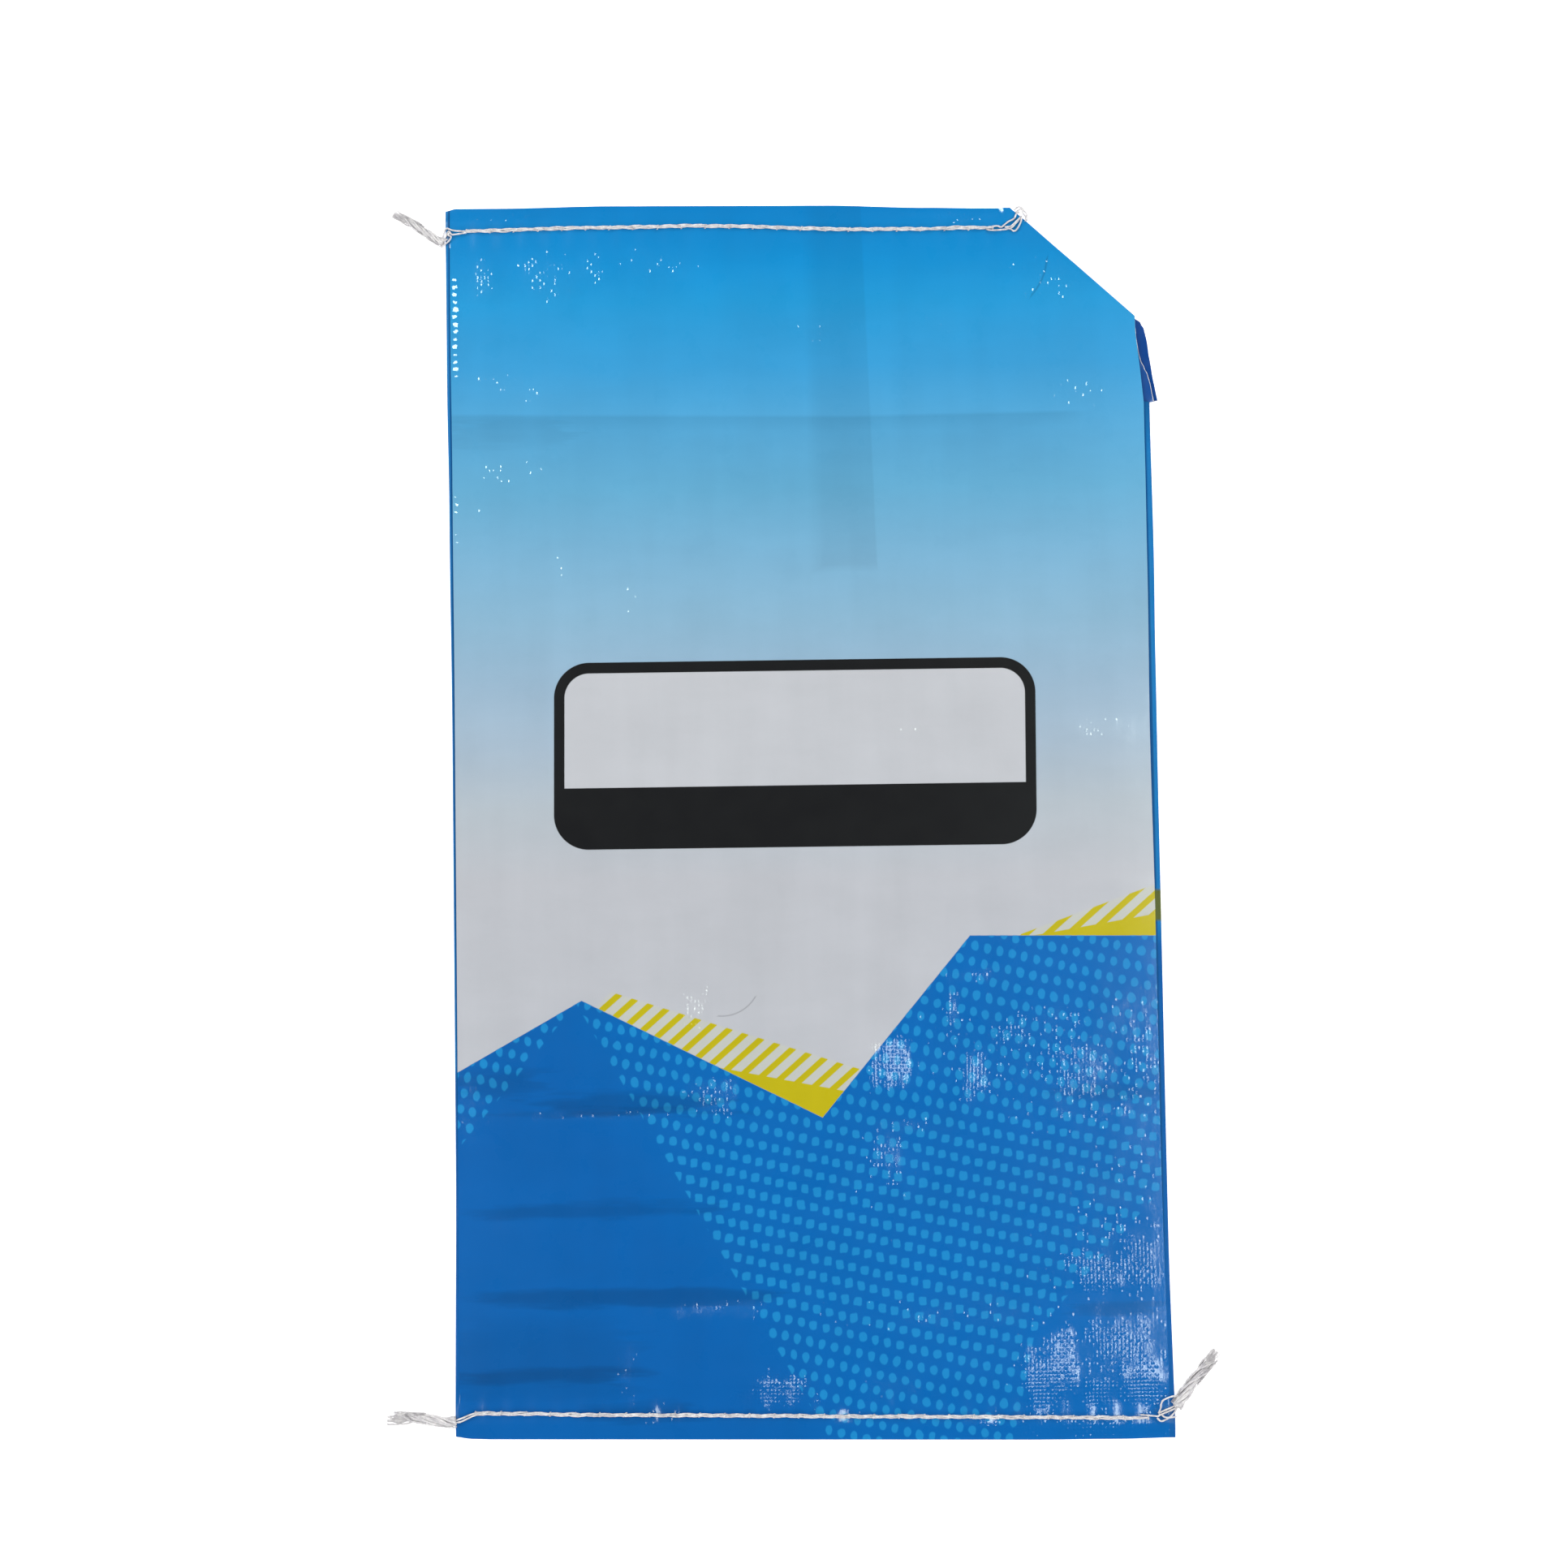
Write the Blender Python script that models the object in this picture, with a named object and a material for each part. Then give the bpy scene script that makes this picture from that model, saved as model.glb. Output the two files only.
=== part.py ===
"""Empty valve sack for a dry building mix, lying flat with its printed front up.

Metres, +Z up. The sack's length runs along Y and its filling corner is at +X, +Y. It rests on Z = 0,
and the origin is under its middle. The sack is one tube of laminated woven fabric. One top corner is
tucked in between the panels, a sleeve of the same fabric comes out beside it, and a chain stitch of
two threads closes each end.
"""

import math

import bmesh
import bpy
from mathutils import Vector

# Sack
SACK_WIDTH = 0.400
SACK_LENGTH = 0.700
END_SKEW = 0.0145  # slope of both cut ends: they were cut this much out of square
WALL = 0.00025  # woven tape fabric with its printed film
LAYER_PITCH = WALL + 0.0003  # from the middle of one layer to the next
THICKNESS = 0.0030  # empty sack, over everything but the thread
LEFT_CREASE_INSET = 0.0015  # the front panel's creases stand inside the sack's outer folds
RIGHT_CREASE_INSET = 0.0027
LEAST_FOLD = 0.0005  # height of the fold's upright side where the sack is sewn flat
FOLD_SHARE = 0.45  # the outer folds stand this far up between the panels

# Tucked corner, as its folds lie in plan
TUCK_TOP_X = 0.1226
TUCK_SIDE = (0.1931, 0.2832)
PINCH_END_X = 0.1155  # the top seam holds the layers down as far as here
TUCK_EASE_X = 0.1210  # past here they have opened again round the tucked corner
MOUTH_FOOT_Y = 0.2366  # the sleeve comes out above this height
MOUTH_ROWS = ((0.2573, 0.1953, 0.1996), (0.2761, 0.1933, 0.1976))  # height, front edge, back edge

# Valve sleeve, from its upper corner at the tucked corner's end
SLEEVE_SLOPE = math.radians(10.8)
SLEEVE_DROP = 0.0006
SLEEVE_WIDTH = 0.048
SLEEVE_LENGTH = 0.100
SLEEVE_LOWER_Z = WALL / 2 + LAYER_PITCH
SLEEVE_UPPER_Z = 0.00155
SLEEVE_MOUTH = (  # share of the width, then how far out the upper and the lower layer reach
    (0.0, -0.0008, 0.0026),
    (0.35, -0.0022, 0.0034),
    (0.68, -0.0010, 0.0027),
    (1.0, -0.0008, 0.0016),
)

# Thread
THREAD = 0.0009
THREAD_GAP = 0.00015
LEG_SPREAD = 0.0022  # between the two legs of a needle loop
SLOT_CLEARANCE = 0.0003
CHAIN_WIDTH = 0.0026
CHAIN_WAIST = 0.0010
CHAIN_SHAPE = ((-0.05, CHAIN_WAIST), (0.05, CHAIN_WAIST), (0.30, CHAIN_WIDTH), (0.70, CHAIN_WIDTH))
STITCH = 0.0138

# Seams: how far in from the cut end the thread runs, at places across the sack
TOP_SEAM_INSET = 0.0121  # the middle of the band that each seam holds flat
BOTTOM_SEAM_INSET = 0.0135
SEAM_HALF_BAND = 0.0035
SEAM_EASE = 0.020
TOP_SEAM = ((-0.197, 0.0134), (-0.108, 0.0115), (-0.052, 0.0108), (0.041, 0.0130), (0.116, 0.0122))
BOTTOM_SEAM = ((-0.192, 0.0146), (-0.120, 0.0138), (0.043, 0.0130), (0.190, 0.0124))
TOP_HOLES = (-0.190, 0.113)
BOTTOM_HOLES = (-0.190, 0.186)

# Thread tails: each route starts where the tail leaves its seam, and is given in plan
TOP_LEFT_TAIL = ((-0.2047, 0.3352), (-0.2112, 0.3375), (-0.2203, 0.3443), (-0.2319, 0.3512))
BOTTOM_LEFT_TAIL = ((-0.2042, -0.3362), (-0.2109, -0.3354), (-0.2245, -0.3325), (-0.2391, -0.3336))
BOTTOM_RIGHT_TAIL = ((0.2042, -0.3301), (0.2116, -0.3205), (0.2186, -0.3112), (0.2262, -0.3025))
TOP_LEFT_TAIL_WIDTH = 0.0045
BOTTOM_LEFT_TAIL_WIDTH = 0.0055
BOTTOM_RIGHT_TAIL_WIDTH = 0.0060
TAIL_LIFT = 0.0002  # the tails lie this far over the surface that carries the sack
TAIL_GAP = 0.0003  # from the chain's end to the tail that goes on from it
CHAIN_END_WIDTH = 0.0034
CHAIN_END_HEIGHT = 0.0022
CHAIN_END_LENGTH = 0.0012
LOOSE_WIDTH = 0.0030  # the chain where it has run off the sack and drawn up
LOOSE_HEIGHT = 0.0012

# Heights of the middle of each panel
BACK_FLAT = WALL / 2
FRONT_FLAT = THICKNESS - WALL / 2
BACK_SEWN = 0.0013 + WALL / 2
FRONT_SEWN = BACK_SEWN + 0.0006
BACK_END = 0.0005
FRONT_END = BACK_END + 0.0006
BACK_CORNER = 0.0003
FRONT_CORNER = 0.0023

# Heights of the middle of each thread
STITCH_UNDER_Z = BACK_SEWN - WALL / 2 - THREAD_GAP - THREAD / 2
CHAIN_Z = FRONT_SEWN + WALL / 2 + THREAD_GAP + THREAD / 2
LOOP_TOP_Z = CHAIN_Z + THREAD + THREAD_GAP
LOOSE_Z = CHAIN_Z + 0.0002

HALF_WIDTH = SACK_WIDTH / 2
HALF_LENGTH = SACK_LENGTH / 2


def clear_scene():
    for old in list(bpy.data.objects):
        bpy.data.objects.remove(old, do_unlink=True)


def material(name, colour, roughness):
    """A Principled material with no metal in it."""
    made = bpy.data.materials.new(name)
    made.use_nodes = True
    shader = made.node_tree.nodes["Principled BSDF"]
    shader.inputs["Base Color"].default_value = (*colour, 1.0)
    shader.inputs["Roughness"].default_value = roughness
    shader.inputs["Metallic"].default_value = 0.0
    return made


def add_object(name, data, look):
    data.materials.append(look)
    made = bpy.data.objects.new(name, data)
    bpy.context.scene.collection.objects.link(made)
    return made


def add_mesh(name, shape, look):
    mesh = bpy.data.meshes.new(name)
    shape.to_mesh(mesh)
    shape.free()
    return add_object(name, mesh, look)


def solidify(target, thickness):
    """Gives a sheet its thickness, half on each side, with its rim closed."""
    modifier = target.modifiers.new("Thickness", "SOLIDIFY")
    modifier.solidify_mode = "NON_MANIFOLD"
    modifier.nonmanifold_thickness_mode = "CONSTRAINTS"
    modifier.nonmanifold_boundary_mode = "NONE"
    modifier.thickness = thickness
    modifier.offset = 0.0
    modifier.use_rim = True


def between(start, end, share):
    return start + (end - start) * share


def eased(points, x):
    """The value at x of a smooth line through (x, value) points."""
    if x <= points[0][0]:
        return points[0][1]
    for (left, first), (right, second) in zip(points, points[1:]):
        if x <= right:
            share = (x - left) / (right - left)
            return between(first, second, share * share * (3 - 2 * share))
    return points[-1][1]


def skewed(row, x):
    """Y of a row that crosses the sack parallel to its cut ends."""
    return row - END_SKEW * x


def tuck_y(x):
    """Y of the tucked corner's fold at this x."""
    top_y = skewed(HALF_LENGTH, TUCK_TOP_X)
    slope = (TUCK_SIDE[1] - top_y) / (TUCK_SIDE[0] - TUCK_TOP_X)
    return top_y + slope * (x - TUCK_TOP_X)


def tuck_x(row):
    """X where a row meets the tucked corner's fold."""
    slope = tuck_y(1.0) - tuck_y(0.0)
    return (row - tuck_y(0.0)) / (slope + END_SKEW)


def panel_heights(row):
    """Heights of the back and front panels along a row, away from the tucked corner."""
    top = row > 0
    seam_inset = TOP_SEAM_INSET if top else BOTTOM_SEAM_INSET
    inset = HALF_LENGTH - abs(row)
    stops_back = (
        (0.0, BACK_END),
        (seam_inset - SEAM_HALF_BAND, BACK_SEWN),
        (seam_inset + SEAM_HALF_BAND, BACK_SEWN),
        (seam_inset + SEAM_HALF_BAND + SEAM_EASE, BACK_FLAT),
    )
    stops_front = (
        (0.0, FRONT_END),
        (seam_inset - SEAM_HALF_BAND, FRONT_SEWN),
        (seam_inset + SEAM_HALF_BAND, FRONT_SEWN),
        (seam_inset + SEAM_HALF_BAND + SEAM_EASE, FRONT_FLAT),
    )
    return eased(stops_back, inset), eased(stops_front, inset)


def corner_heights(row):
    """Heights of the back and front panels along the tucked corner's fold."""
    back, front = panel_heights(row)
    return min(back, BACK_CORNER), max(front, FRONT_CORNER)


def row_heights():
    """The rows of the panels from the bottom end to the top end."""
    bottom_seam = BOTTOM_SEAM_INSET
    top_seam = TOP_SEAM_INSET
    middle_ease = SEAM_HALF_BAND + SEAM_EASE / 2
    bottom = [
        0.0,
        bottom_seam - SEAM_HALF_BAND,
        bottom_seam + SEAM_HALF_BAND,
        bottom_seam + middle_ease,
        bottom_seam + SEAM_HALF_BAND + SEAM_EASE,
    ]
    top = [
        top_seam + SEAM_HALF_BAND + SEAM_EASE,
        top_seam + middle_ease,
        top_seam + SEAM_HALF_BAND,
        top_seam - SEAM_HALF_BAND,
        0.0,
    ]
    rows = [inset - HALF_LENGTH for inset in bottom]
    rows.append(MOUTH_FOOT_Y)
    rows.extend(height for height, _, _ in MOUTH_ROWS)
    rows.append(TUCK_SIDE[1] + END_SKEW * TUCK_SIDE[0])
    rows.extend(HALF_LENGTH - inset for inset in top)
    return rows


def right_edges(row):
    """X of the back panel's and the front panel's right edge on a row."""
    tuck_row = TUCK_SIDE[1] + END_SKEW * TUCK_SIDE[0]
    if row >= tuck_row - 1e-6:
        return tuck_x(row), tuck_x(row)
    for height, front, back in MOUTH_ROWS:
        if abs(row - height) < 1e-6:
            return back, front
    return HALF_WIDTH, HALF_WIDTH - RIGHT_CREASE_INSET


def tucked_point():
    """Where the tube's own corner lies once it is tucked in."""
    top = Vector((TUCK_TOP_X, skewed(HALF_LENGTH, TUCK_TOP_X)))
    side = Vector(TUCK_SIDE)
    corner = Vector((HALF_WIDTH, skewed(HALF_LENGTH, HALF_WIDTH)))
    along = (side - top).normalized()
    foot = top + along * (corner - top).dot(along)
    return foot * 2 - corner


def sack_sheet():
    """The sack as a sheet with no thickness: two panels, two side folds and the tucked corner."""
    sheet = bmesh.new()
    rows = row_heights()
    tuck_row = TUCK_SIDE[1] + END_SKEW * TUCK_SIDE[0]
    backs, fronts, left_sides, right_sides = [], [], [], []
    for row in rows:
        right_back, right_front = right_edges(row)
        back_z, front_z = panel_heights(row)
        corner_back_z, corner_front_z = corner_heights(row)
        eased_back_z = corner_back_z if row >= tuck_row - 1e-6 else back_z
        eased_front_z = corner_front_z if row >= tuck_row - 1e-6 else front_z

        def point(x, z):
            return sheet.verts.new((x, skewed(row, x), z))

        backs.append(
            [
                point(-HALF_WIDTH, back_z),
                point(PINCH_END_X, back_z),
                point(TUCK_EASE_X, eased_back_z),
                point(right_back, eased_back_z),
            ]
        )
        fronts.append(
            [
                point(-HALF_WIDTH + LEFT_CREASE_INSET, front_z),
                point(PINCH_END_X, front_z),
                point(TUCK_EASE_X, eased_front_z),
                point(right_front, eased_front_z),
            ]
        )
        side_z = back_z + max(LEAST_FOLD, FOLD_SHARE * (front_z - back_z))
        left_sides.append(point(-HALF_WIDTH, side_z))
        right_sides.append(point(HALF_WIDTH, side_z) if row <= MOUTH_FOOT_Y + 1e-6 else None)
    for i in range(len(rows) - 1):
        for j in range(3):
            sheet.faces.new((fronts[i][j], fronts[i][j + 1], fronts[i + 1][j + 1], fronts[i + 1][j]))
            sheet.faces.new((backs[i][j + 1], backs[i][j], backs[i + 1][j], backs[i + 1][j + 1]))
        sheet.faces.new((left_sides[i], fronts[i][0], fronts[i + 1][0], left_sides[i + 1]))
        sheet.faces.new((backs[i][0], left_sides[i], left_sides[i + 1], backs[i + 1][0]))
        if right_sides[i + 1]:
            sheet.faces.new((fronts[i][3], right_sides[i], right_sides[i + 1], fronts[i + 1][3]))
            sheet.faces.new((right_sides[i], backs[i][3], backs[i + 1][3], right_sides[i + 1]))
    add_tuck(sheet, rows, backs, fronts)
    bmesh.ops.recalc_face_normals(sheet, faces=sheet.faces)
    return sheet


def add_tuck(sheet, rows, backs, fronts):
    """The corner turned in between the panels: two flaps, and the fold that joins them."""
    tuck_row = TUCK_SIDE[1] + END_SKEW * TUCK_SIDE[0]
    first = next(i for i, row in enumerate(rows) if row >= tuck_row - 1e-6)
    inner = tucked_point()
    front_tip = sheet.verts.new((*inner, FRONT_FLAT - LAYER_PITCH))
    back_tip = sheet.verts.new((*inner, BACK_FLAT + LAYER_PITCH))
    front_edge, back_edge = [], []
    for i in range(first, len(rows)):
        front = fronts[i][3].co
        back = backs[i][3].co
        front_edge.append(sheet.verts.new((front.x, front.y, front.z - LAYER_PITCH)))
        back_edge.append(sheet.verts.new((back.x, back.y, back.z + LAYER_PITCH)))
    for k in range(len(front_edge) - 1):
        i = first + k
        sheet.faces.new((fronts[i][3], fronts[i + 1][3], front_edge[k + 1], front_edge[k]))
        sheet.faces.new((front_edge[k], front_edge[k + 1], front_tip))
        sheet.faces.new((back_edge[k + 1], back_edge[k], back_tip))
        sheet.faces.new((backs[i + 1][3], backs[i][3], back_edge[k], back_edge[k + 1]))
    sheet.faces.new((front_edge[0], front_tip, back_tip, back_edge[0]))


def seam_y(points, end, x):
    """Y of a seam at x, for the end at +1 or -1."""
    return skewed(end * HALF_LENGTH, x) - end * eased(points, x)


def holes(seam, span, end):
    """The needle holes of a seam, from left to right."""
    count = round((span[1] - span[0]) / STITCH)
    found = []
    for i in range(count + 1):
        x = between(span[0], span[1], i / count)
        found.append(Vector((x, seam_y(seam, end, x))))
    return found


def needle_slots(places, look):
    """One cutter for all the needle holes, which the stitching has pulled long across the seam."""
    cutter = bmesh.new()
    size = (THREAD + 2 * SLOT_CLEARANCE, LEG_SPREAD + THREAD + 2 * SLOT_CLEARANCE, 4 * THICKNESS)
    for place in places:
        made = bmesh.ops.create_cube(cutter, size=1.0)
        bmesh.ops.scale(cutter, vec=size, verts=made["verts"])
        bmesh.ops.translate(cutter, vec=(place.x, place.y, THICKNESS / 2), verts=made["verts"])
    helper = add_mesh("needle_slot_cutter", cutter, look)
    helper.hide_render = True
    helper.display_type = "WIRE"
    return helper


def make_sack(look, places):
    sack = add_mesh("sack", sack_sheet(), look)
    solidify(sack, WALL)
    cut = sack.modifiers.new("Needle holes", "BOOLEAN")
    cut.operation = "DIFFERENCE"
    cut.object = needle_slots(places, look)
    return sack


def make_sleeve(look):
    """A flat sleeve. Its upper layer is cut short, so that the lower one shows past it as a lip."""
    inward = Vector((-math.cos(SLEEVE_SLOPE), -math.sin(SLEEVE_SLOPE)))
    down = Vector((-inward.y, inward.x))
    corner = Vector(TUCK_SIDE) + down * SLEEVE_DROP
    sheet = bmesh.new()
    lines = []
    for share, upper_out, lower_out in SLEEVE_MOUTH:
        start = corner + down * SLEEVE_WIDTH * share
        inner = start + inward * SLEEVE_LENGTH
        upper = (start - inward * upper_out, inner)
        lower = (start - inward * lower_out, inner)
        lines.append(
            [
                [sheet.verts.new((*place, SLEEVE_UPPER_Z)) for place in upper],
                [sheet.verts.new((*place, SLEEVE_LOWER_Z)) for place in lower],
            ]
        )
    for (upper, lower), (next_upper, next_lower) in zip(lines, lines[1:]):
        sheet.faces.new((upper[0], upper[1], next_upper[1], next_upper[0]))
        sheet.faces.new((lower[1], lower[0], next_lower[0], next_lower[1]))
    for upper, lower in (lines[0], lines[-1]):
        sheet.faces.new((upper[0], lower[0], lower[1], upper[1]))
    bmesh.ops.recalc_face_normals(sheet, faces=sheet.faces)
    sleeve = add_mesh("valve_sleeve", sheet, look)
    solidify(sleeve, WALL)
    return sleeve


def tube(name, points, width, sides_level, look):
    """A round tube along the points, closed at both ends."""
    curve = bpy.data.curves.new(name, "CURVE")
    curve.dimensions = "3D"
    curve.bevel_depth = width / 2
    curve.bevel_resolution = sides_level
    curve.use_fill_caps = True
    spline = curve.splines.new("POLY")
    spline.points.add(len(points) - 1)
    for target, place in zip(spline.points, points):
        target.co = (*place, 1.0)
    return add_object(name, curve, look)


def make_needle_thread(name, places, look):
    """The thread that goes up through each hole, over the chain, down again and on to the next."""
    side = LEG_SPREAD / 2
    shoulder = side / 2
    points = [(places[0].x - 3 * THREAD, places[0].y + side, STITCH_UNDER_Z)]
    for place in places:
        points.append((place.x, place.y + side, STITCH_UNDER_Z))
        points.append((place.x, place.y + side, between(CHAIN_Z, LOOP_TOP_Z, 0.4)))
        points.append((place.x, place.y + shoulder, LOOP_TOP_Z))
        points.append((place.x, place.y - shoulder, LOOP_TOP_Z))
        points.append((place.x, place.y - side, between(CHAIN_Z, LOOP_TOP_Z, 0.4)))
        points.append((place.x, place.y - side, STITCH_UNDER_Z))
    points.append((places[-1].x + 3 * THREAD, places[-1].y - side, STITCH_UNDER_Z))
    return tube(name, points, THREAD, 1, look)


def make_chain(name, stations, look):
    """A flat strip of laid thread. Each station is its place, its width and its height."""
    shape = bmesh.new()
    rings = []
    for i, (place, width, height) in enumerate(stations):
        before = stations[max(i - 1, 0)][0]
        after = stations[min(i + 1, len(stations) - 1)][0]
        along = Vector((after[0] - before[0], after[1] - before[1])).normalized()
        across = Vector((-along.y, along.x, 0.0))
        middle = Vector(place)
        ring = []
        for side, up in ((1, 0), (0.5, 1), (-0.5, 1), (-1, 0), (-0.5, -1), (0.5, -1)):
            offset = across * side * width / 2 + Vector((0, 0, up * height / 2))
            ring.append(shape.verts.new(middle + offset))
        rings.append(ring)
    for ring, following in zip(rings, rings[1:]):
        for k in range(len(ring)):
            after = (k + 1) % len(ring)
            shape.faces.new((ring[k], ring[after], following[after], following[k]))
    shape.faces.new(rings[0])
    shape.faces.new(list(reversed(rings[-1])))
    bmesh.ops.recalc_face_normals(shape, faces=shape.faces)
    return add_mesh(name, shape, look)


def station(x, y, z, width, height=THREAD):
    return ((x, y, z), width, height)


def chain_stations(places):
    """The chain's stations along its holes: narrow at each hole, wide between them."""
    stations = []
    for place, following in zip(places, places[1:]):
        for share, width in CHAIN_SHAPE:
            middle = place + (following - place) * share
            stations.append(station(middle.x, middle.y, CHAIN_Z, width))
    for share in (0.95, 1.05):
        middle = places[-2] + (places[-1] - places[-2]) * share
        stations.append(station(middle.x, middle.y, CHAIN_Z, CHAIN_WAIST))
    return stations


def chain_end(route):
    """The two stations that bring the chain's end square up to a tail."""
    start = Vector(route[0])
    along = (Vector(route[1]) - start).normalized()
    ends = [start - along * back for back in (TAIL_GAP, TAIL_GAP + CHAIN_END_LENGTH)]
    return [station(end.x, end.y, CHAIN_Z, CHAIN_END_WIDTH, CHAIN_END_HEIGHT) for end in ends]


def make_top_chain(places, look):
    """The top chain runs off the left fold, and ends at the tucked corner in a short frayed tuft."""
    left = chain_end(TOP_LEFT_TAIL) + [
        station(-0.2013, 0.3356, LOOSE_Z, LOOSE_WIDTH, LOOSE_HEIGHT),
        station(-0.1980, 0.3382, CHAIN_Z, CHAIN_WIDTH),
        station(-0.1930, 0.3394, CHAIN_Z, CHAIN_WIDTH),
    ]
    right = [
        station(0.1165, 0.3364, 0.0030, CHAIN_WIDTH),
        station(0.1215, 0.3386, 0.0032, CHAIN_WIDTH),
        station(0.1262, 0.3426, 0.0032, CHAIN_WIDTH),
        station(0.1292, 0.3452, 0.0030, CHAIN_WIDTH),
        station(0.1308, 0.3468, 0.0022, 0.0060, 0.0030),
        station(0.1325, 0.3484, 0.0020, 0.0062, 0.0030),
        station(0.1338, 0.3497, 0.0018, 0.0030, 0.0020),
    ]
    return make_chain("top_looper_thread", left + chain_stations(places) + right, look)


def make_bottom_chain(places, look):
    """The bottom chain runs off both folds, from a knot at its right end."""
    left = chain_end(BOTTOM_LEFT_TAIL) + [
        station(-0.2008, -0.3361, LOOSE_Z, LOOSE_WIDTH, LOOSE_HEIGHT),
        station(-0.1970, -0.3338, CHAIN_Z, CHAIN_WIDTH),
        station(-0.1930, -0.3328, CHAIN_Z, CHAIN_WIDTH),
    ]
    right = [
        station(0.1885, -0.3403, CHAIN_Z, CHAIN_WIDTH),
        station(0.1908, -0.3402, CHAIN_Z + 0.0003, 0.0036, 0.0014),
        station(0.1965, -0.3366, LOOSE_Z, LOOSE_WIDTH, LOOSE_HEIGHT),
        station(0.2012, -0.3334, LOOSE_Z, LOOSE_WIDTH, LOOSE_HEIGHT),
        *reversed(chain_end(BOTTOM_RIGHT_TAIL)),
    ]
    return make_chain("bottom_looper_thread", left + chain_stations(places) + right, look)


def smooth_route(points, step):
    """Points at about this spacing on a Catmull-Rom curve through the given ones."""
    ends = [points[0] * 2 - points[1], *points, points[-1] * 2 - points[-2]]
    route = []
    for a, b, c, d in zip(ends, ends[1:], ends[2:], ends[3:]):
        pieces = max(1, round((c - b).length / step))
        for i in range(pieces):
            t = i / pieces
            bend = a * (-t + 2 * t**2 - t**3) + b * (2 - 5 * t**2 + 3 * t**3)
            bend += c * (t + 4 * t**2 - 3 * t**3) + d * (-(t**2) + t**3)
            route.append(bend / 2)
    return route + [points[-1]]


def make_tail(name, route, width, look):
    """A thread tail: a soft bundle of cut threads, lying on what carries the sack."""
    points = [Vector((x, y, width / 2 + TAIL_LIFT)) for x, y in route]
    return tube(name, smooth_route(points, 2 * width), width, 2, look)


def main():
    clear_scene()
    film = material("printed_film", (0.040, 0.230, 0.560), 0.30)
    sleeve_fabric = material("sleeve_fabric", (0.010, 0.065, 0.270), 0.35)
    thread = material("polyester_thread", (0.80, 0.79, 0.76), 0.75)
    top_places = holes(TOP_SEAM, TOP_HOLES, 1)
    bottom_places = holes(BOTTOM_SEAM, BOTTOM_HOLES, -1)
    make_sack(film, top_places + bottom_places)
    make_sleeve(sleeve_fabric)
    make_needle_thread("top_needle_thread", top_places, thread)
    make_needle_thread("bottom_needle_thread", bottom_places, thread)
    make_top_chain(top_places, thread)
    make_bottom_chain(bottom_places, thread)
    make_tail("top_left_thread_tail", TOP_LEFT_TAIL, TOP_LEFT_TAIL_WIDTH, thread)
    make_tail("bottom_left_thread_tail", BOTTOM_LEFT_TAIL, BOTTOM_LEFT_TAIL_WIDTH, thread)
    make_tail("bottom_right_thread_tail", BOTTOM_RIGHT_TAIL, BOTTOM_RIGHT_TAIL_WIDTH, thread)


main()
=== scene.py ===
"""Looks of an empty valve sack for dry building mix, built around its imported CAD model.

Metres, +Z up, in the CAD model's own frame. The sack's length runs along Y, and its filling corner is at
+X, +Y. The script builds the fabric, the valve sleeve, the two sewn seams and the three thread tails, and
dresses each of them in a procedural material.
"""

import logging
import math
from dataclasses import dataclass
from enum import Enum
from functools import reduce

import bmesh
import bpy
from mathutils import Matrix, Vector, noise

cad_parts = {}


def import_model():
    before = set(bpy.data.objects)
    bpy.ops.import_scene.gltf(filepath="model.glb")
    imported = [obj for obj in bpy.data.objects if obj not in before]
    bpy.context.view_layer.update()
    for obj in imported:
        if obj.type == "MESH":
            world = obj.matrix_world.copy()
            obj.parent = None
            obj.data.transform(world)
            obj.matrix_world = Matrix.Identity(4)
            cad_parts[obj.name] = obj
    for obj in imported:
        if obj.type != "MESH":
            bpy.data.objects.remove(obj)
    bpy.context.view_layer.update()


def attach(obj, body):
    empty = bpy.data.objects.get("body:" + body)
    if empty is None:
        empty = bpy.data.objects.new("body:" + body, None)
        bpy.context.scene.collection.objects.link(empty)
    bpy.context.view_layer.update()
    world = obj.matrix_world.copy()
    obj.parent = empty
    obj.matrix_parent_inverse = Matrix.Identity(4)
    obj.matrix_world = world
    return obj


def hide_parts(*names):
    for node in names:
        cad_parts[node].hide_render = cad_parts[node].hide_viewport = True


log = logging.getLogger("valve_sack")

BODY = "root"
MM = 0.001
# Less than this many metres counts as nothing
HAIR = 1e-6

# The CAD model's own sizes, repeated here because its source isn't read
HALF_WIDTH = 0.200
HALF_LENGTH = 0.350
END_SKEW = 0.0145
WALL = 0.00025
LAYER_PITCH = WALL + 0.0003
TUCK_TOP_X = 0.1226
TUCK_SIDE = Vector((0.1931, 0.2832))
PINCH_END_X = 0.1155
TUCK_EASE_X = 0.1210
MOUTH_FOOT_Y = 0.2366
THREAD = 0.0009
LEG_SPREAD = 0.0022
STITCH = 0.0138
TOP_SEAM = ((-0.197, 0.0134), (-0.108, 0.0115), (-0.052, 0.0108), (0.041, 0.0130), (0.116, 0.0122))
BOTTOM_SEAM = ((-0.192, 0.0146), (-0.120, 0.0138), (0.043, 0.0130), (0.190, 0.0124))
TOP_HOLES = (-0.190, 0.113)
BOTTOM_HOLES = (-0.190, 0.186)

# Heights of the middle of each panel
BACK_FLAT = WALL / 2
FRONT_FLAT = 0.0030 - WALL / 2
BACK_SEWN = 0.0013 + WALL / 2
FRONT_SEWN = BACK_SEWN + 0.0006
BACK_END = 0.0005
FRONT_END = BACK_END + 0.0006
BACK_CORNER = 0.0003
FRONT_CORNER = 0.0023
SEAM_HALF_BAND = 0.0035
SEAM_EASE = 0.020
TOP_BAND_INSET = 0.0121
BOTTOM_BAND_INSET = 0.0135

# Over how many millimetres an edge of the print goes from one ink to the other
INK_BLUR = 0.35

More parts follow.
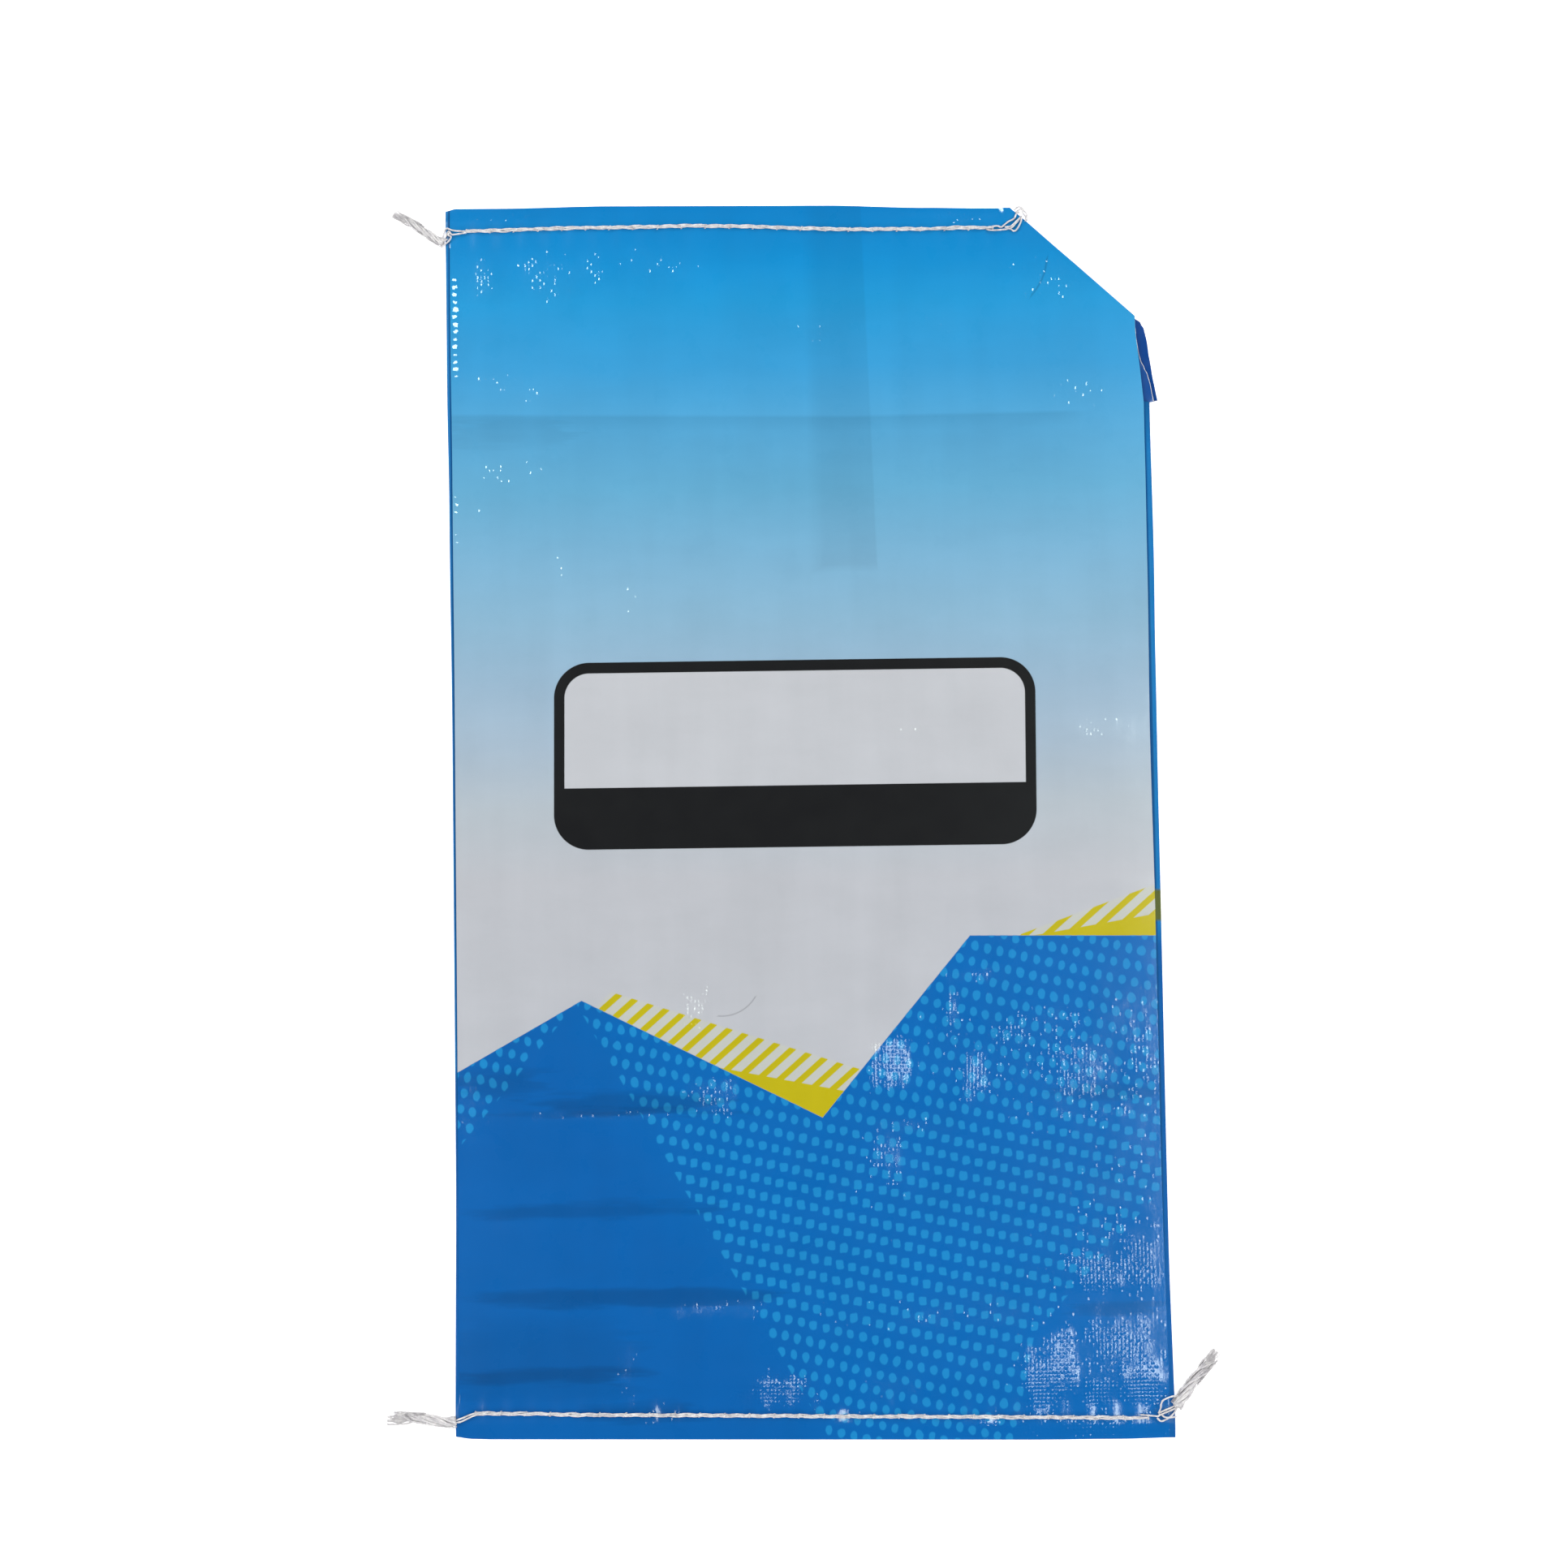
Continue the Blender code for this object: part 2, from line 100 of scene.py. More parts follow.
Socket = bpy.types.NodeSocket
Node = bpy.types.Node
Tree = bpy.types.NodeTree


class Slot(Enum):
    """The record's material slots."""

    FILM = "printed_film"
    SLEEVE = "sleeve_fabric"
    THREAD = "polyester_thread"


class End(Enum):
    """The sack's two sewn ends, as the sign of their Y."""

    TOP = 1
    BOTTOM = -1


# Small helpers


def between(start: float | Vector, end: float | Vector, share: float) -> float | Vector:
    """The value or point at this share of the way from start to end."""
    return start + (end - start) * share


def smooth(low: float, high: float, value: float) -> float:
    """Rises smoothly from 0 at low to 1 at high."""
    share = min(1.0, max(0.0, (value - low) / (high - low)))
    return share * share * (3 - 2 * share)


def eased(points: tuple, x: float) -> float:
    """The value at x of a smooth line through points.

    Args:
        points: The line's points, as x and value, from left to right.
        x: Where the value is wanted.

    Returns:
        The value.
    """
    if x <= points[0][0]:
        return points[0][1]
    for (left, first), (right, second) in zip(points, points[1:]):
        if x <= right:
            return between(first, second, smooth(left, right, x))
    return points[-1][1]


def steps(start: float, end: float, pitch: float, count: int = 0) -> list[float]:
    """Even values from start up to, and without, end, at about this pitch or to this count."""
    count = count or max(1, round(abs(end - start) / pitch))
    return [between(start, end, i / count) for i in range(count)]


def skewed(row: float, x: float) -> float:
    """Y of a row that crosses the sack parallel to its cut ends."""
    return row - END_SKEW * x


def tuck_y(x: float) -> float:
    """Y of the tucked corner's fold at this x."""
    top_y = skewed(HALF_LENGTH, TUCK_TOP_X)
    return top_y + (TUCK_SIDE.y - top_y) / (TUCK_SIDE.x - TUCK_TOP_X) * (x - TUCK_TOP_X)


def tuck_x(row: float) -> float:
    """X where a row meets the tucked corner's fold."""
    slope = tuck_y(1.0) - tuck_y(0.0)
    return (row - tuck_y(0.0)) / (slope + END_SKEW)


def seam_y(seam: tuple, end: End, x: float) -> float:
    """Y of a seam at x."""
    return skewed(end.value * HALF_LENGTH, x) - end.value * eased(seam, x)


def holes(seam: tuple, span: tuple, end: End) -> list[Vector]:
    """The needle holes of a seam, from left to right.

    Args:
        seam: How far the seam is from the sack's end, as x and distance.
        span: X of the first hole and of the last one.
        end: The end that the seam closes.

    Returns:
        The holes' places.
    """
    count = round((span[1] - span[0]) / STITCH)
    places = [between(span[0], span[1], i / count) for i in range(count + 1)]
    return [Vector((x, seam_y(seam, end, x), 0.0)) for x in places]


def smooth_route(points: list[Vector], step: float) -> list[Vector]:
    """Points on a smooth curve, a Catmull-Rom one, through the given points.

    Args:
        points: The points that it runs through.
        step: About how far apart the new points are.

    Returns:
        The new points.
    """
    ends = [points[0] * 2 - points[1], *points, points[-1] * 2 - points[-2]]
    route = []
    for a, b, c, d in zip(ends, ends[1:], ends[2:], ends[3:]):
        pieces = max(1, round((c - b).length / step))
        for i in range(pieces):
            t = i / pieces
            bend = a * (-t + 2 * t**2 - t**3) + b * (2 - 5 * t**2 + 3 * t**3)
            bend += c * (t + 4 * t**2 - 3 * t**3) + d * (-(t**2) + t**3)
            route.append(bend / 2)
    return route + [points[-1]]


def hex_colour(text: str) -> tuple[float, float, float, float]:
    """Turns an sRGB hex colour such as "1f88c5" into linear red, green, blue and alpha."""
    parts = [int(text[i : i + 2], 16) / 255 for i in (0, 2, 4)]
    return (*[c / 12.92 if c <= 0.04045 else ((c + 0.055) / 1.055) ** 2.4 for c in parts], 1.0)


def feed(tree: Tree, node: Node, feeds: tuple | list | dict) -> None:
    """Sets and links a node's sockets.

    Args:
        tree: The node tree.
        node: The node.
        feeds: What goes into its shown sockets, in their order or by name: a value, a node or a socket.
    """
    shown = [socket for socket in node.inputs if socket.enabled]
    pairs = feeds.items() if isinstance(feeds, dict) else enumerate(feeds)
    for key, value in pairs:
        socket = shown[key] if isinstance(key, int) else node.inputs[key]
        if isinstance(value, Node):
            value = next(out for out in value.outputs if out.enabled)
        if isinstance(value, Socket):
            tree.links.new(value, socket)
        else:
            socket.default_value = value


def add_node(tree: Tree, kind: str, feeds: tuple | list | dict = (), **settings) -> Node:
    """Adds a shader node with its settings and its links.

    Args:
        tree: The node tree to add it to.
        kind: The node's type, without the word that all of them start with, and its operation if it has one.
        feeds: What goes into its shown sockets.
        settings: The node's other properties.

    Returns:
        The new node.
    """
    kind, _, operation = kind.partition(" ")
    node = tree.nodes.new("ShaderNode" + kind)
    if operation:
        node.operation = operation
    for name, value in settings.items():
        setattr(node, name, value)
    feed(tree, node, feeds)
    return node


def new_material(name: str) -> tuple[bpy.types.Material, Tree, Node]:
    """Makes a material with nodes.

    Args:
        name: The material's name.

    Returns:
        The material, its node tree and its Principled shader.
    """
    made = bpy.data.materials.new(name)
    made.use_nodes = True
    return made, made.node_tree, made.node_tree.nodes["Principled BSDF"]


def add_piece(
    name: str, shape: bmesh.types.BMesh, looks: list, slot: Slot, *stands_for: str
) -> bpy.types.Object:
    """Makes a piece of the sack from a mesh shape, riding on the sack's only body.

    Args:
        name: The piece's name.
        shape: Its mesh, which is freed.
        looks: Its materials, in the order of their numbers on the faces.
        slot: The record's slot; not used.
        stands_for: The CAD nodes that it replaces.

    Returns:
        The piece.
    """
    mesh = bpy.data.meshes.new(name)
    shape.to_mesh(mesh)
    shape.free()
    for look in looks:
        mesh.materials.append(look)
    piece = bpy.data.objects.new(name, mesh)
    bpy.context.scene.collection.objects.link(piece)
    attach(piece, BODY)
    if stands_for:
        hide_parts(*stands_for)
    return piece


def give_thickness(piece: bpy.types.Object, inner_step: int, rim_step: int, crease_degrees: float) -> None:
    """Turns a sheet into fabric with two sides and a rim, and keeps its sharp folds sharp.

    Args:
        piece: The sheet.
        inner_step: How many slots further on the inner side's material is.
        rim_step: How many slots further on the rim's material is.
        crease_degrees: The least angle between two faces that shows as a sharp fold.
    """
    modifier = piece.modifiers.new("Thickness", "SOLIDIFY")
    modifier.thickness = WALL
    modifier.offset = 0.0
    modifier.use_rim = True
    modifier.material_offset = inner_step
    modifier.material_offset_rim = rim_step
    bpy.context.view_layer.update()
    graph = bpy.context.evaluated_depsgraph_get()
    mesh = bpy.data.meshes.new_from_object(piece.evaluated_get(graph))
    piece.modifiers.clear()
    piece.data = mesh
    mesh.polygons.foreach_set("use_smooth", [True] * len(mesh.polygons))
    mesh.set_sharp_from_angle(angle=math.radians(crease_degrees))


# The print on the film


@dataclass(frozen=True)
class Relief:
    """The bumps and folds that packing and handling left in the front panel, in millimetres and degrees."""

    # Crumpled patches: x, y, half width, half length, how crumpled, and degrees that it faces right of up
    patches: tuple = (
        (46, -140, 14, 18, 1.00, 7.0),
        (92, -147, 9, 19, 0.95, 3.6),
        (112, -126, 18, 10, 0.72, 1.8),
        (134, -115, 16, 8, 0.48, 1.0),
        (150, -148, 17, 20, 0.82, 0.9),
        (182, -140, 13, 34, 0.60, -0.7),
        (94, -92, 20, 5, 0.60, 2.6),
        (80, -112, 4, 19, 0.70, 3.0),
        (-55, -157, 17, 15, 0.70, 7.6),
        (-66, -108, 10, 15, 0.80, 8.4),
        (-80, -96, 5, 8, 0.40, 8.0),
        (43, -191, 12, 18, 0.68, 4.8),
        (55, -176, 22, 5, 0.58, 4.2),
        (150, -170, 42, 4, 0.52, 0.6),
        (175, -231, 20, 11, 0.38, -0.5),
        (158, -259, 20, 12, 0.95, 0.7),
        (184, -253, 14, 19, 0.90, -0.8),
        (127, -318, 12, 23, 1.05, 4.6),
        (138, -308, 11, 23, 1.00, 4.3),
        (168, -298, 22, 14, 0.95, 0.2),
        (182, -320, 13, 15, 1.05, 2.5),
        (158, -326, 9, 11, 1.00, 1.6),
        (155, -345, 42, 7, 0.85, 0.8),
        (60, -283, 22, 7, 0.42, 2.8),
        (95, -284, 24, 7, 0.40, 1.8),
        (40, -322, 20, 10, 0.45, 4.6),
        (18, -338, 12, 7, 0.60, 6.4),
        (95, -343, 10, 6, 0.60, 4.2),
        (-51, -277, 39, 7, 0.42, -6.4),
        (-104, -312, 9, 19, 0.45, -3.8),
        (-84, -334, 14, 10, 0.50, -5.8),
        (-20, -322, 23, 12, 0.80, 8.2),
        (-190, -160, 9, 20, 0.28, -1.6),
        (170, 46, 25, 8, 0.42, 1.0),
        (60, 47, 16, 4, 0.35, 4.0),
        (184, -40, 14, 4, 0.30, 0.2),
        (152, -38, 26, 3, 0.25, 1.0),
        (96, 343, 18, 4, 0.62, 3.0),
        (-180, 313, 7, 14, 0.68, -1.6),
        (-162, 347, 36, 2.5, 0.50, 0.0),
        (-96, 347, 20, 2, 0.45, 0.0),
        (-142, 313, 19, 15, 0.62, -1.8),
        (-118, 318, 11, 12, 0.55, -2.0),
        (-77, 319, 26, 12, 0.55, -2.8),
        (140, 305, 20, 13, 0.55, 0.6),
        (158, 240, 16, 10, 0.55, 0.2),
        (80, 283, 22, 12, 0.40, 1.8),
        (8, 277, 15, 10, 0.50, -3.2),
        (-160, 250, 36, 8, 0.45, -0.8),
        (-150, 240, 13, 9, 0.52, -1.0),
        (-165, 199, 31, 7, 0.50, -0.8),
        (-140, 142, 7, 9, 0.50, -1.4),
        (-98, 126, 9, 12, 0.50, -2.8),
        (-186, 176, 8, 14, 0.40, -0.2),
        (-120, -168, 70, 4, 0.40, -3.4),
        (118, -138, 70, 34, 0.46, 0.6),
        (168, -250, 32, 30, 0.48, 0.3),
        (150, -312, 48, 36, 0.52, 0.6),
        (30, -282, 90, 12, 0.40, 1.2),
        (40, -205, 34, 40, 0.36, 1.6),
    )
    # Fold lines across the sack: x from, x to, y at the left, y at the right, height, half width
    creases: tuple = (
        (-180, 190, 231, 229, -0.20, 3.0),
        (-150, 190, 47, 45, -0.25, 3.5),
        (-150, -75, -167, -172, -0.30, 4.0),
        (-190, 190, -216, -231, -0.22, 3.0),
        (-190, -55, -228, -229, 0.25, 3.5),
        (-192, 60, -263, -262, -0.25, 3.0),
        (-192, 30, -275, -276, 0.25, 4.0),
        (90, 196, -271, -270, -0.40, 3.0),
        (90, 196, -287, -286, 0.35, 3.0),
        (-190, -60, -294, -297, -0.25, 5.0),
        (-150, -20, -314, -318, 0.25, 6.0),
    )
    # How far a crease strays from straight, in millimetres, and its slope's reach in half widths
    crease_wander: float = 1.6
    crease_softness: float = 1.3
    # How far a crease fades beyond each of its ends, and within it
    crease_ends: tuple = (6, 22)
    # Where the most crumpled part, the lower right, sets in: between these y and between these x
    low_from: tuple = (-140, -90)
    right_from: tuple = (20, 150)
    # The least crumple, what the lower right adds to it, and the crumple of its right edge from x to x
    least: float = 0.06
    low_right_least: float = 0.20
    right_edge: tuple = (0.34, 188, 194)
    # A patch's edge: how far out it is soft, how far out a place still counts, and how it frays, as the
    # share of the patch and the frays' width and length
    patch_edge: tuple = (0.35, 1.42)
    patch_reach: float = 1.8
    frays: tuple = ((0.45, 4, 16), (0.30, 18, 5))
    patch_rise: float = 0.09
    # Swells of the whole panel: height, width, length, and where they lie in the noise
    swells: tuple = ((0.20, 85, 48, 3.1), (0.055, 26, 20, 7.7), (0.022, 10, 12, 1.3))
    # How much higher the swells are below these y, and how much more in the lower right
    low_swell: tuple = (0.9, -130, -60)
    low_right_swell: float = 0.5

    def low_right(self, x: float, y: float) -> float:
        """How far a place is into the most crumpled part, the lower right."""
        return (1 - smooth(*self.low_from, y)) * smooth(*self.right_from, x)

    def window(self, x: float, y: float, spec: tuple) -> float:
        """The part that a place has in a patch.

        Args:
            x: The place's x.
            y: Its y.
            spec: The patch.

        Returns:
            1 in the middle of the patch and 0 outside it.
        """
        middle_x, middle_y, half_width, half_length = spec[:4]
        off_x, off_y = abs(x - middle_x) / half_width, abs(y - middle_y) / half_length
        if max(off_x, off_y) > self.patch_reach:
            return 0.0
        away = 0.5 * max(off_x, off_y) + 0.5 * math.hypot(off_x, off_y)
        for (share, width, length), middle in zip(self.frays, (middle_x, middle_y)):
            away += share * noise.noise(Vector((x / width, y / length, middle / 10)))
        return 1 - smooth(*self.patch_edge, away)

    def crumple(self, x: float, y: float) -> float:
        """How crumpled the film is at a place.

        Args:
            x: The place's x.
            y: Its y.

        Returns:
            0 for smooth to about 1.
        """
        least = self.least + self.low_right_least * self.low_right(x, y)
        level, start, end = self.right_edge
        right_edge = level * smooth(start, end, x) * (1 - smooth(*self.low_from, y))
        return max(least, right_edge, *(spec[4] * self.window(x, y, spec) for spec in self.patches))

    def lean(self, x: float, y: float) -> float:
        """How far the film faces right of up at a place, as a slope."""
        leans = (math.tan(math.radians(spec[5])) * self.window(x, y, spec) ** 2 for spec in self.patches)
        return max(leans, key=abs)

    def height(self, x: float, y: float) -> float:
        """Height of the relief over the flat panel.

        Args:
            x: The place's x.
            y: Its y.

        Returns:
            The height in millimetres.
        """
        more, start, end = self.low_swell
        uneven = 1.0 + more * (1 - smooth(start, end, y)) + self.low_right_swell * self.low_right(x, y)
        total = 0.0
        for height, width, length, seed in self.swells:
            total += height * uneven * noise.noise(Vector((x / width, y / length, seed)))
        for spec in self.patches:
            total += self.patch_rise * spec[4] * self.window(x, y, spec)
        outside, inside = self.crease_ends
        for left, right, left_y, right_y, height, half in self.creases:
            share = min(1.0, max(0.0, (x - left) / (right - left)))
            wander = self.crease_wander * noise.noise(Vector((x / 40, left_y, 0.0)))
            away = abs(y - between(left_y, right_y, share) - wander)
            reach = smooth(left - outside, left + inside, x)
            reach *= 1 - smooth(right - inside, right + outside, x)
            total += height * reach * math.exp(-((away / (self.crease_softness * half)) ** 2))
        return total


@dataclass(frozen=True)
class Drawing:
    """Shapes drawn over the fabric in a node tree. Each shape is a node that gives how many millimetres a
    place is inside it."""

    tree: Tree
    place: Node | Socket

    def moved(self, cause: Node, reach: tuple) -> "Drawing":
        """The same drawing with each place moved by the colour of a noise, over this reach in millimetres."""
        off = add_node(self.tree, "VectorMath SUBTRACT", (cause.outputs["Color"], (0.5, 0.5, 0.5)))
        return Drawing(self.tree, add_node(self.tree, "VectorMath MULTIPLY_ADD", (off, reach, self.place)))

    def streaks(self, waves: tuple, detail: float, roughness: float) -> Node:
        """Noise drawn out over the fabric, with this many waves to the millimetre each way.

        Args:
            waves: The waves to the millimetre along X and Y, and 0.
            detail: How many finer layers it has.
            roughness: How strong each finer layer is.

        Returns:
            The noise.
        """
        place = add_node(self.tree, "VectorMath MULTIPLY", (self.place, waves))
        feeds = {"Vector": place, "Scale": 1.0, "Detail": detail, "Roughness": roughness}
        return add_node(self.tree, "TexNoise", feeds)

    def length(self, way: Node | Socket, scale: tuple = (1.0, 1.0, 0.0)) -> Node:
        """Length of a vector in the fabric's plane, times this scale."""
        flat = add_node(self.tree, "VectorMath MULTIPLY", (way, scale))
        return add_node(self.tree, "VectorMath LENGTH", (flat,))

    def line(self, start: tuple, end: tuple) -> Node:
        """All that is to the left of the way from start to end.

        Args:
            start: A place on the line.
            end: Another place on it.

        Returns:
            The shape.
        """
        way = Vector((end[0] - start[0], end[1] - start[1])).normalized()
        out = Vector((-way.y, way.x))
        along = add_node(self.tree, "VectorMath DOT_PRODUCT", (self.place, (out.x, out.y, 0.0)))
        return add_node(self.tree, "Math SUBTRACT", (along, out.dot(Vector(start))))

    def beyond(self, x: float, side: int = 1) -> Node:
        """All that is to the right of an x, or to its left where the side is -1."""
        return self.line((x, side), (x, 0.0))

    def rows(self, low: float, high: float) -> Node:
        """All that is between two heights."""
        return self.all_of(self.line((0.0, low), (1.0, low)), self.line((1.0, high), (0.0, high)))

    def all_of(self, *shapes: Node) -> Node:
        """What is inside every one of these shapes."""
        return reduce(lambda a, b: add_node(self.tree, "Math MINIMUM", (a, b)), shapes)

    def any_of(self, *shapes: Node) -> Node:
        """What is inside at least one of these shapes."""
        return reduce(lambda a, b: add_node(self.tree, "Math MAXIMUM", (a, b)), shapes)

    def mask(self, shape: Node, softness: float = INK_BLUR) -> Node:
        """1 inside a shape and 0 outside it, with an edge of this width."""
        return add_node(self.tree, "Math MULTIPLY_ADD", (shape, 1 / softness, 0.5), use_clamp=True)

    def lay(self, under: Node | tuple, colour: str | Node, mask: Node) -> Node:
        """Lays one ink over what is under it."""
        ink = hex_colour(colour) if isinstance(colour, str) else colour
        return add_node(self.tree, "Mix", (mask, under, ink), data_type="RGBA")

    def toned(self, colour: Node | tuple, shade: Node) -> Node:
        """A colour with only this share of it left."""
        grey = add_node(self.tree, "CombineXYZ", (shade, shade, shade))
        return add_node(self.tree, "Mix", (1.0, colour, grey), data_type="RGBA", blend_type="MULTIPLY")

    def rounded(self, low: tuple, high: tuple, radius: float) -> Node:
        """A rectangle with round corners.

        Args:
            low: Its lower left corner.
            high: Its upper right corner.
            radius: Of its round corners.

        Returns:
            The shape.
        """
        middle = ((low[0] + high[0]) / 2, (low[1] + high[1]) / 2, 0.0)
        inner = ((high[0] - low[0]) / 2 - radius, (high[1] - low[1]) / 2 - radius, 0.0)
        away = add_node(self.tree, "VectorMath SUBTRACT", (self.place, middle))
        away = add_node(self.tree, "VectorMath ABSOLUTE", (away,))
        away = add_node(self.tree, "VectorMath SUBTRACT", (away, inner))
        away = add_node(self.tree, "VectorMath MAXIMUM", (away, (0.0, 0.0, 0.0)))
        return add_node(self.tree, "Math SUBTRACT", (radius, self.length(away)))


def in_millimetres(tree: Tree) -> Drawing:
    """The places of a piece in its own millimetres."""
    spot = add_node(tree, "TexCoord").outputs["Object"]
    return Drawing(tree, add_node(tree, "VectorMath MULTIPLY", (spot, (1000.0,) * 3)))


@dataclass(frozen=True)
class FabricWeave:
    """Plain weave of flat polypropylene tapes, 12 to the inch, as it shows through the film."""

    tape: float = 25.4 / 12
    # How high the crossings stand where the film is smooth, as a share, and how soon crumpling raises them
    calm: float = 0.05
    rise: float = 12.0
    # Height of the crossings of the other set of tapes, as a share
    other_height: float = 0.45
    # How unequal the raised crossings are: what chance adds, and the least that each has
    uneven: tuple = (0.9, 0.6)
    # How far the tapes stray, in millimetres, and the waves to the millimetre
    stray: float = 1.6
    stray_waves: float = 0.05

    def height(self, drawing: Drawing, crumple: Socket | None = None) -> Node:
        """Height of the tapes: each crossing is a dome, every other one lower.

        Args:
            drawing: The fabric's places.
            crumple: How crumpled the fabric is. The more it is, the more of its crossings stand out.

        Returns:
            The height, where 1 is a whole dome.
        """
        tree = drawing.tree
        waves = {"Vector": drawing.place, "Scale": self.stray_waves, "Detail": 1.0}
        drift = add_node(tree, "TexNoise", waves)
        bent = drawing.moved(drift, (self.stray, self.stray, 0.0)).place
        shares = add_node(tree, "VectorMath MULTIPLY", (bent, (1 / self.tape, 1 / self.tape, 0.0)))
        angles = add_node(tree, "VectorMath MULTIPLY", (shares, (math.pi, math.pi, 0.0)))
        waves = add_node(tree, "VectorMath SINE", (angles,))
        parts = add_node(tree, "SeparateXYZ", (waves,))
        product = add_node(tree, "Math MULTIPLY", (parts.outputs["X"], parts.outputs["Y"]))
        lower = add_node(tree, "Math MULTIPLY", (product, -self.other_height))
        domes = add_node(tree, "Math MAXIMUM", (product, lower))
        if crumple is None:
            return domes
        cell = add_node(tree, "VectorMath FLOOR", (shares,))
        chance = add_node(tree, "TexWhiteNoise", (cell,))
        share = add_node(tree, "Math MULTIPLY", (crumple, crumple))
        stands = add_node(tree, "Math SUBTRACT", (share, chance.outputs["Value"]))
        stands = add_node(tree, "Math MULTIPLY", (stands, self.rise), use_clamp=True)
        uneven = add_node(tree, "SeparateXYZ", (chance.outputs["Color"],))
        uneven = add_node(tree, "Math MULTIPLY_ADD", (uneven.outputs["Y"], *self.uneven))
        stands = add_node(tree, "Math MULTIPLY_ADD", (stands, uneven, self.calm))
        return add_node(tree, "Math MULTIPLY", (domes, stands))


@dataclass(frozen=True)
class FrontPrint:
    """The printed front: a sky-blue fade over white, a framed label with no words, and an angular
    blue field with halftone dots and hatched yellow edges. Places are in millimetres."""

    # The fade's inks and the heights where they lie, from the top down
    fade: tuple = (
        (352, "0477ba"),
        (318, "0c85c3"),
        (296, "1c8ec7"),
        (258, "3493c8"),
        (222, "4f9dc9"),
        (187, "5ea2c6"),
        (150, "72a7c6"),
        (113, "81aac3"),
        (75, "8fabc0"),
        (40, "9cafbf"),
        (5, "a9b3bb"),
        (-36, "b2b5bb"),
    )
    fade_span: tuple = (-60.0, 360.0)
    field: str = "025aa3"
    field_dotted: str = "0060aa"
    dot: str = "1780be"
    yellow: str = "b4a812"
    yellow_gap: str = "b6b9b3"
    label_white: str = "b7babf"
    label_black: str = "17181a"
    # The corners of the field's upper edge
    peak: tuple = (-128.2, -103.4)
    valley: tuple = (6.9, -171.0)
    shoulder: tuple = (91.8, -69.9)
    left_foot: tuple = (-198.0, -142.4)
    right_foot: tuple = (197.0, -71.5)
    # The dots' rows: the step to the next dot, the step to the next row, and one dot's middle
    dot_across: tuple = (6.90, -1.70)
    dot_down: tuple = (-2.13, -8.85)
    dot_start: tuple = (65.2, -227.7)
    dots_left_end: tuple = ((-131.2, -105.0), (8.6, -350.5))
    # Dots in the field's middle band are squares with round corners, the rest ovals of these half axes
    square: tuple = ((-2.15, -2.4), (2.15, 2.4), 1.2)
    oval: tuple = (2.05, 2.75)
    hatch_pitch: float = 12.2
    hatch_width: float = 5.3
    hatch_slant: float = 41.0
    # The label: its slopes from upright and from level, its frame, its window, and the bar's top
    label_lean: tuple = (-0.0103, 0.0023)
    frame: tuple = ((-142.8, -18.4), (131.0, 88.2), 20.0)
    window: tuple = ((-136.8, -20.0), (125.0, 82.0), 14.0)
    bar_top: tuple = ((-150.0, 16.6), (150.0, 16.9))
    # What the seam behind takes from the light as it shows through, and the painted shade below the fold step
    # near the top
    seam_depth: float = 0.085
    fold_step_shade: float = 0.07
    # Unevenness of the light: waves to the millimetre along X and Y, detail, roughness, depth
    clouds: tuple = (((0.012, 0.030, 0.0), 4.0, 0.6, 0.16), ((0.045, 0.006, 0.0), 3.0, 0.5, 0.13))
    # Bands that a fold keeps darker: y, half height, x from, x to, share of the light lost
    bands: tuple = (
        (222, 10, -205, -125, 0.09),
        (-149, 9, -205, -146, 0.16),
        (-162, 7, -152, -48, 0.22),
        (-167, 3, -200, -30, 0.14),
        (-221, 5, -196, -52, 0.20),
        (-270, 6, -196, -12, 0.26),
        (-313, 5, -206, -92, 0.21),
        (-334, 6, -128, -62, 0.16),
        (-305, 26, -215, -95, 0.12),
        (-279, 5, 138, 200, 0.16),
        (-160, 4, 130, 190, 0.10),
    )
    # Thin dark lines on a circle, the first painted shade in a curved crease and the second a thin dark arc:
    # middle, radius, the ends of the line that cuts it off, half width, depth
    marks: tuple = (
        ((107.9, 320.6), 35.8, (144.0, 319.0), (133.0, 294.0), 0.45, 0.30),
        ((-48.8, -91.3), 21.9, (-30.0, -102.5), (-51.0, -113.0), 0.22, 0.45),
    )

    def stripes(self, drawing: Drawing, start: float) -> Node:
        """The hatching's slanting stripes.

        Args:
            drawing: The film's places.
            start: X where the middle of one stripe meets y = 0.

        Returns:
            The shape, measured level.
        """
        tree = drawing.tree
        lean = 1 / math.tan(math.radians(self.hatch_slant))
        level = add_node(tree, "VectorMath DOT_PRODUCT", (drawing.place, (1.0, -lean, 0.0)))
        moved = add_node(tree, "Math SUBTRACT", (level, start - self.hatch_pitch / 2))
        within = add_node(tree, "Math FLOORED_MODULO", (moved, self.hatch_pitch))
        off = add_node(tree, "Math SUBTRACT", (within, self.hatch_pitch / 2))
        off = add_node(tree, "Math ABSOLUTE", (off,))
        return add_node(tree, "Math SUBTRACT", (self.hatch_width / 2, off))

    def sky(self, drawing: Drawing) -> Node:
        """The fade from blue to white.

        Args:
            drawing: The film's places.

        Returns:
            The colour.
        """
        low, high = self.fade_span
        parts = add_node(drawing.tree, "SeparateXYZ", (drawing.place,))
        up = add_node(drawing.tree, "MapRange", (parts.outputs["Y"], low, high, 0.0, 1.0))
        ramp = add_node(drawing.tree, "ValToRGB", (up,))
        stops = ramp.color_ramp.elements
        while len(stops) < len(self.fade):
            stops.new(0.5)
        for stop, (height, colour) in zip(stops, reversed(self.fade)):
            stop.position = (height - low) / (high - low)
            stop.color = hex_colour(colour)
        return ramp

